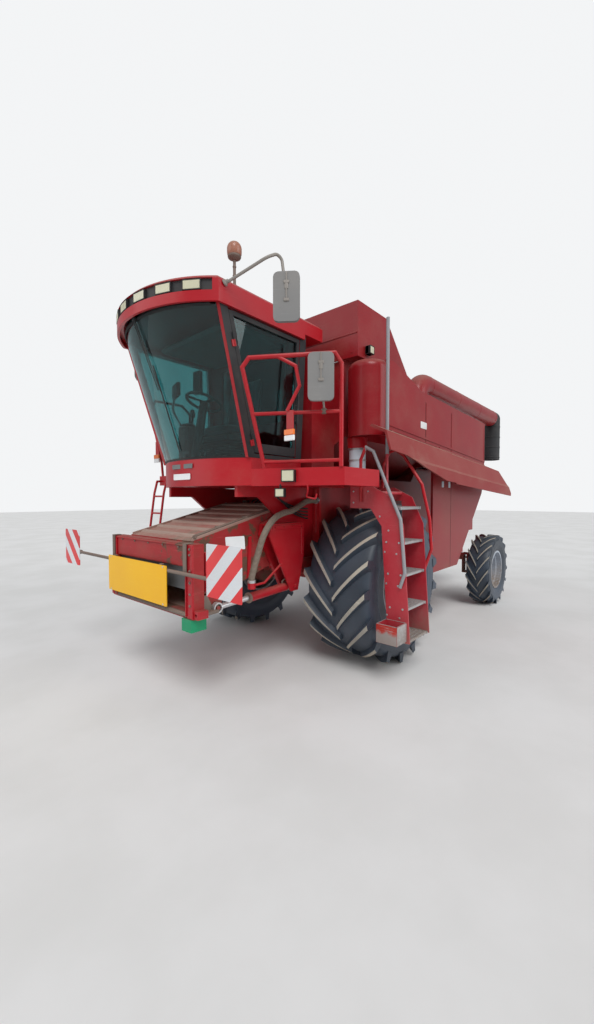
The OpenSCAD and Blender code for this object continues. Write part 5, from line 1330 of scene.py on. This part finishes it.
class COMBINE_OT_body_trim(bpy.types.Operator):
    """Adds seams, edges, latches and straps to the tank, the panels and the hood"""

    bl_idname = "combine.body_trim"
    bl_label = "Body Trim"

    def execute(self, context):
        seams = Shape()
        for side, rear in ((1, -3000), (-1, -2050)):
            inner = side * BODY_SIDE
            front, back = panel_low(358), panel_low(rear)
            seams.prism([(358, front + 46), (358, front + 70), (rear + 2, back + 66), (rear + 2, back + 42)],
                        inner, side * 1509)
            for x in (330, -640, -1500, rear + 30):
                foot = panel_low(x) + 8
                seams.prism([(x, foot), (x + 7, foot), (x + 7, 3080), (x, 3080)], inner, side * 1503)
        seams.piece("panel_beads", ["crimson_paint"], "red_paint")
        gaps = Shape()
        for side, xs in ((1, (-620, -1480)), (-1, (-620,))):
            for x in xs:
                foot = panel_low(x) + 8
                gap = [(x, foot), (x + 5, foot), (x + 5, 3085), (x, 3085)]
                gaps.prism(gap, side * BODY_SIDE, side * 1501.5)
            gaps.prism([(-1640, 900), (-1635, 900), (-1635, 2290), (-1640, 2290)], side * 1449, side * 1451.5)
        gaps.piece("panel_gaps", ["black_rubber"], "black_plastic")
        latches = Shape()
        for side in SIDES:
            for x in (-1320, -1560):
                latches.plate((x, side * 1450, 2080), (-side, 0, 0), Z, (58, 84), 8, 8)
                latches.block((x - 10, side * 1455, 2050), (x + 10, side * 1466, 2100), 3)
        latches.piece("shield_latches", ["pale_tube_paint"], "pale_paint")
        rim = Shape()
        for y in (-1204, 1186):
            rim.block((-140, y, 4038), (476, y + 8, 4049), 3)
        rim.block((452, -1196, 4034), (479, 1196, 4049), 4)
        for y in (-700, 0, 700):
            rim.block((440, y - 14, 3470), (456, y + 14, 4040), 4)
        rim.block((481, -1190, 3700), (487, 1190, 3716), 2)
        rim.bolts([(480, -1125 + 250 * k, 3500) for k in range(10)], X, 16, 7)
        rim.piece("tank_edges", ["crimson_paint"], "red_paint")
        bands = Shape()
        for x in (-1260, -2300, -3300, -4240):
            bands.lathe(collar(149, 12, 152.5, 9), (x, UNLOADER_Y, 3460), X, 48)
        bands.lathe([(149, -30), (166, -28), (166, 0), (149, 2)], (-950, UNLOADER_Y, 3180), Z, 48)
        bands.piece("tube_bands", ["crimson_paint"], "red_paint", "unloader")
        boot = Shape()
        for z in (2700, 2900, 3100, 3300):
            boot.lathe(collar(148, 12, 155, 8), (-4460, UNLOADER_Y, z), Z, 48)
        boot.piece("boot_rings", ["black_rubber"], "black_plastic", "unloader")
        hood = Shape()
        for side in SIDES:
            for x in (-3320, -3800, -4280):
                hood.block((x, side * 699, 1230), (x + 36, side * 712, 2340), 5)
            hood.prism([(-3300, 2300), (-3300, 2330), (-4280, 2330), (-4320, 2300)], side * 699, side * 712)
        hood.piece("hood_ribs", ["crimson_paint"], "red_paint")
        vents = Shape()
        for z in range(2520, 2985, 58):
            vents.prism([(-3284, z), (-3292, z + 8), (-3292, z + 30), (-3282, z + 38)], -700, 700)
            vents.block((-3200, 899, z), (-2000, 908, z + 26), 4)
        vents.piece("cover_louvres", ["crimson_paint"], "red_paint")
        stack = Shape()
        stack.lathe([(60, 0), (66, 4), (66, 150), (60, 156)], (-2750, -250, 3330), Z, 28)
        stack.piece("exhaust_guard", ["rusty_steel"], "bare_steel")
        tank = Shape()
        for x in (-4050, -3740, -3430):
            tank.block((x - 20, -623, 2382), (x + 20, 623, 2903), 6)
        tank.lathe([(62, 0), (66, 6), (66, 30), (58, 38), (0.1, 40)], (-3900, 400, 2930), Z, 28)
        tank.piece("fuel_tank_straps", ["rusty_steel"], "bare_steel")
        clamps = Shape()
        for z in (2190, 2310, 2430):
            clamps.lathe(collar(92, 10, 98, 8), (400, 1150, z), Z, 36)
        clamps.piece("tube_clamps", ["steel_silver"], "bare_steel")
        sleeve = Shape()
        sleeve.lathe([(111, 0), (112, 4), (112, 116), (111, 120)], (400, 1150, 2441), Z, 40)
        sleeve.piece("tube_sleeve", ["hot_red_paint"], "red_paint")
        return {"FINISHED"}


class COMBINE_OT_air_screen(bpy.types.Operator):
    """Builds the rotary air screen with its mesh and hub"""

    bl_idname = "combine.air_screen"
    bl_label = "Air Screen"

    def execute(self, context):
        x, y, z = AIR_SCREEN
        out = (0, -1, 0)
        drum = Shape()
        drum.lathe([(376, -38), (391, -38), (391, 59), (376, 59)], AIR_SCREEN, out, 72, True)
        drum.lathe([(26, -58), (60, -58), (60, 74), (52, 80), (26, 80)], AIR_SCREEN, out, 32, True)
        spokes, wires = (12, 0, 55, 380, 52, 7, 8), (72, 0.5, 110, 378, 50, 2.2, 5)
        for count, shift, inner, outer, back, r, sides in (spokes, wires):
            for c, s in around(count, 1, shift):
                drum.tube([(x + q * c, y - back, z + q * s) for q in (inner, outer)], r, sides)
        for r in range(100, 341, 40):
            ring = around(48, r)
            drum.tube([(x + c, y - 52, z + s) for c, s in ring + ring[:1]], 3.5, 6)
        drum.piece("air_screen_mesh", ["dull_plastic"], "black_plastic", "air_screen_drum",
                   replaces=["air_screen"])
        return {"FINISHED"}


class COMBINE_OT_studio(bpy.types.Operator):
    """Lays the pale floor and sets the soft studio light"""

    bl_idname = "combine.studio"
    bl_label = "Studio"

    def execute(self, context):
        scene = context.scene
        floor = bpy.data.meshes.new("studio_floor")
        half = 60.0
        corners = [(-half, -half, 0), (half, -half, 0), (half, half, 0), (-half, half, 0)]
        floor.from_pydata(corners, [], [(0, 1, 2, 3)])
        pale = bpy.data.materials.new("floor_pale")
        pale.use_nodes = True
        g = Graph(pale.node_tree)
        shader = pale.node_tree.nodes["Principled BSDF"].inputs
        tone = g.ramp(g.noise(g.coords(), 0.8, 5.0), 0.35, 0.65)
        g.feed(shader["Base Color"], g.mix(tone, (0.74, 0.735, 0.72, 1), (0.79, 0.785, 0.775, 1)))
        shader["Roughness"].default_value = 0.8
        floor.materials.append(pale)
        ground = bpy.data.objects.new("studio_floor", floor)
        scene.collection.objects.link(ground)
        world = bpy.data.worlds.new("studio_world")
        scene.world = world
        world.use_nodes = True
        world.node_tree.nodes.clear()
        w = Graph(world.node_tree)
        path = w.add("LightPath").outputs
        seen = w.math("MAXIMUM", path["Is Camera Ray"], path["Is Transmission Ray"])
        lit = w.add("Background", {"Color": (0.93, 0.96, 1.0, 1), "Strength": 0.42}).outputs[0]
        shown = w.add("Background", {"Color": (0.90, 0.91, 0.92, 1), "Strength": 1.0}).outputs[0]
        w.add("OutputWorld", {0: w.add("MixShader", {0: seen, 1: lit, 2: shown}).outputs[0]})
        for name, way, strength, spread in (
            ("key_light", (-0.55, -0.62, -1.0), 1.55, 28),
            ("fill_light", (-0.9, 0.5, -0.45), 0.55, 50),
            ("side_light", (0.35, -1.0, -0.35), 0.75, 40),
        ):
            data = bpy.data.lights.new(name, "SUN")
            data.energy = strength * scene.combine_looks.light_level
            data.angle = math.radians(spread)
            lamp = bpy.data.objects.new(name, data)
            lamp.rotation_euler = Vector(way).to_track_quat("-Z", "Y").to_euler()
            scene.collection.objects.link(lamp)
        scene.view_settings.view_transform = "Standard"
        return {"FINISHED"}


OPERATORS = (
    COMBINE_OT_camera, COMBINE_OT_finishes, COMBINE_OT_supply_hose, COMBINE_OT_seat, COMBINE_OT_tyres,
    COMBINE_OT_wheel_trim, COMBINE_OT_cab_trim, COMBINE_OT_cab_inside, COMBINE_OT_lamps, COMBINE_OT_mirrors,
    COMBINE_OT_steps, COMBINE_OT_boards, COMBINE_OT_feeder_trim, COMBINE_OT_bulkhead_trim, COMBINE_OT_body_trim,
    COMBINE_OT_air_screen, COMBINE_OT_studio,
)


class COMBINE_PT_panel(bpy.types.Panel):
    """Lists the settings and the steps that build the looks"""

    bl_idname = "COMBINE_PT_panel"
    bl_label = "Combine Harvester"
    bl_space_type = "VIEW_3D"
    bl_region_type = "UI"
    bl_category = "Combine"

    def draw(self, context):
        looks = context.scene.combine_looks
        for key in CombineLooks.__annotations__:
            self.layout.prop(looks, key)
        for step in OPERATORS:
            self.layout.operator(step.bl_idname)


def register():
    bpy.utils.register_class(CombineLooks)
    for step in OPERATORS:
        bpy.utils.register_class(step)
    bpy.utils.register_class(COMBINE_PT_panel)
    bpy.types.Scene.combine_looks = PointerProperty(type=CombineLooks)


def unregister():
    del bpy.types.Scene.combine_looks
    bpy.utils.unregister_class(COMBINE_PT_panel)
    for step in reversed(OPERATORS):
        bpy.utils.unregister_class(step)
    bpy.utils.unregister_class(CombineLooks)


def main():
    register()
    for step in OPERATORS:
        group, call = step.bl_idname.split(".")
        getattr(getattr(bpy.ops, group), call)()


if __name__ == "__main__":
    main()
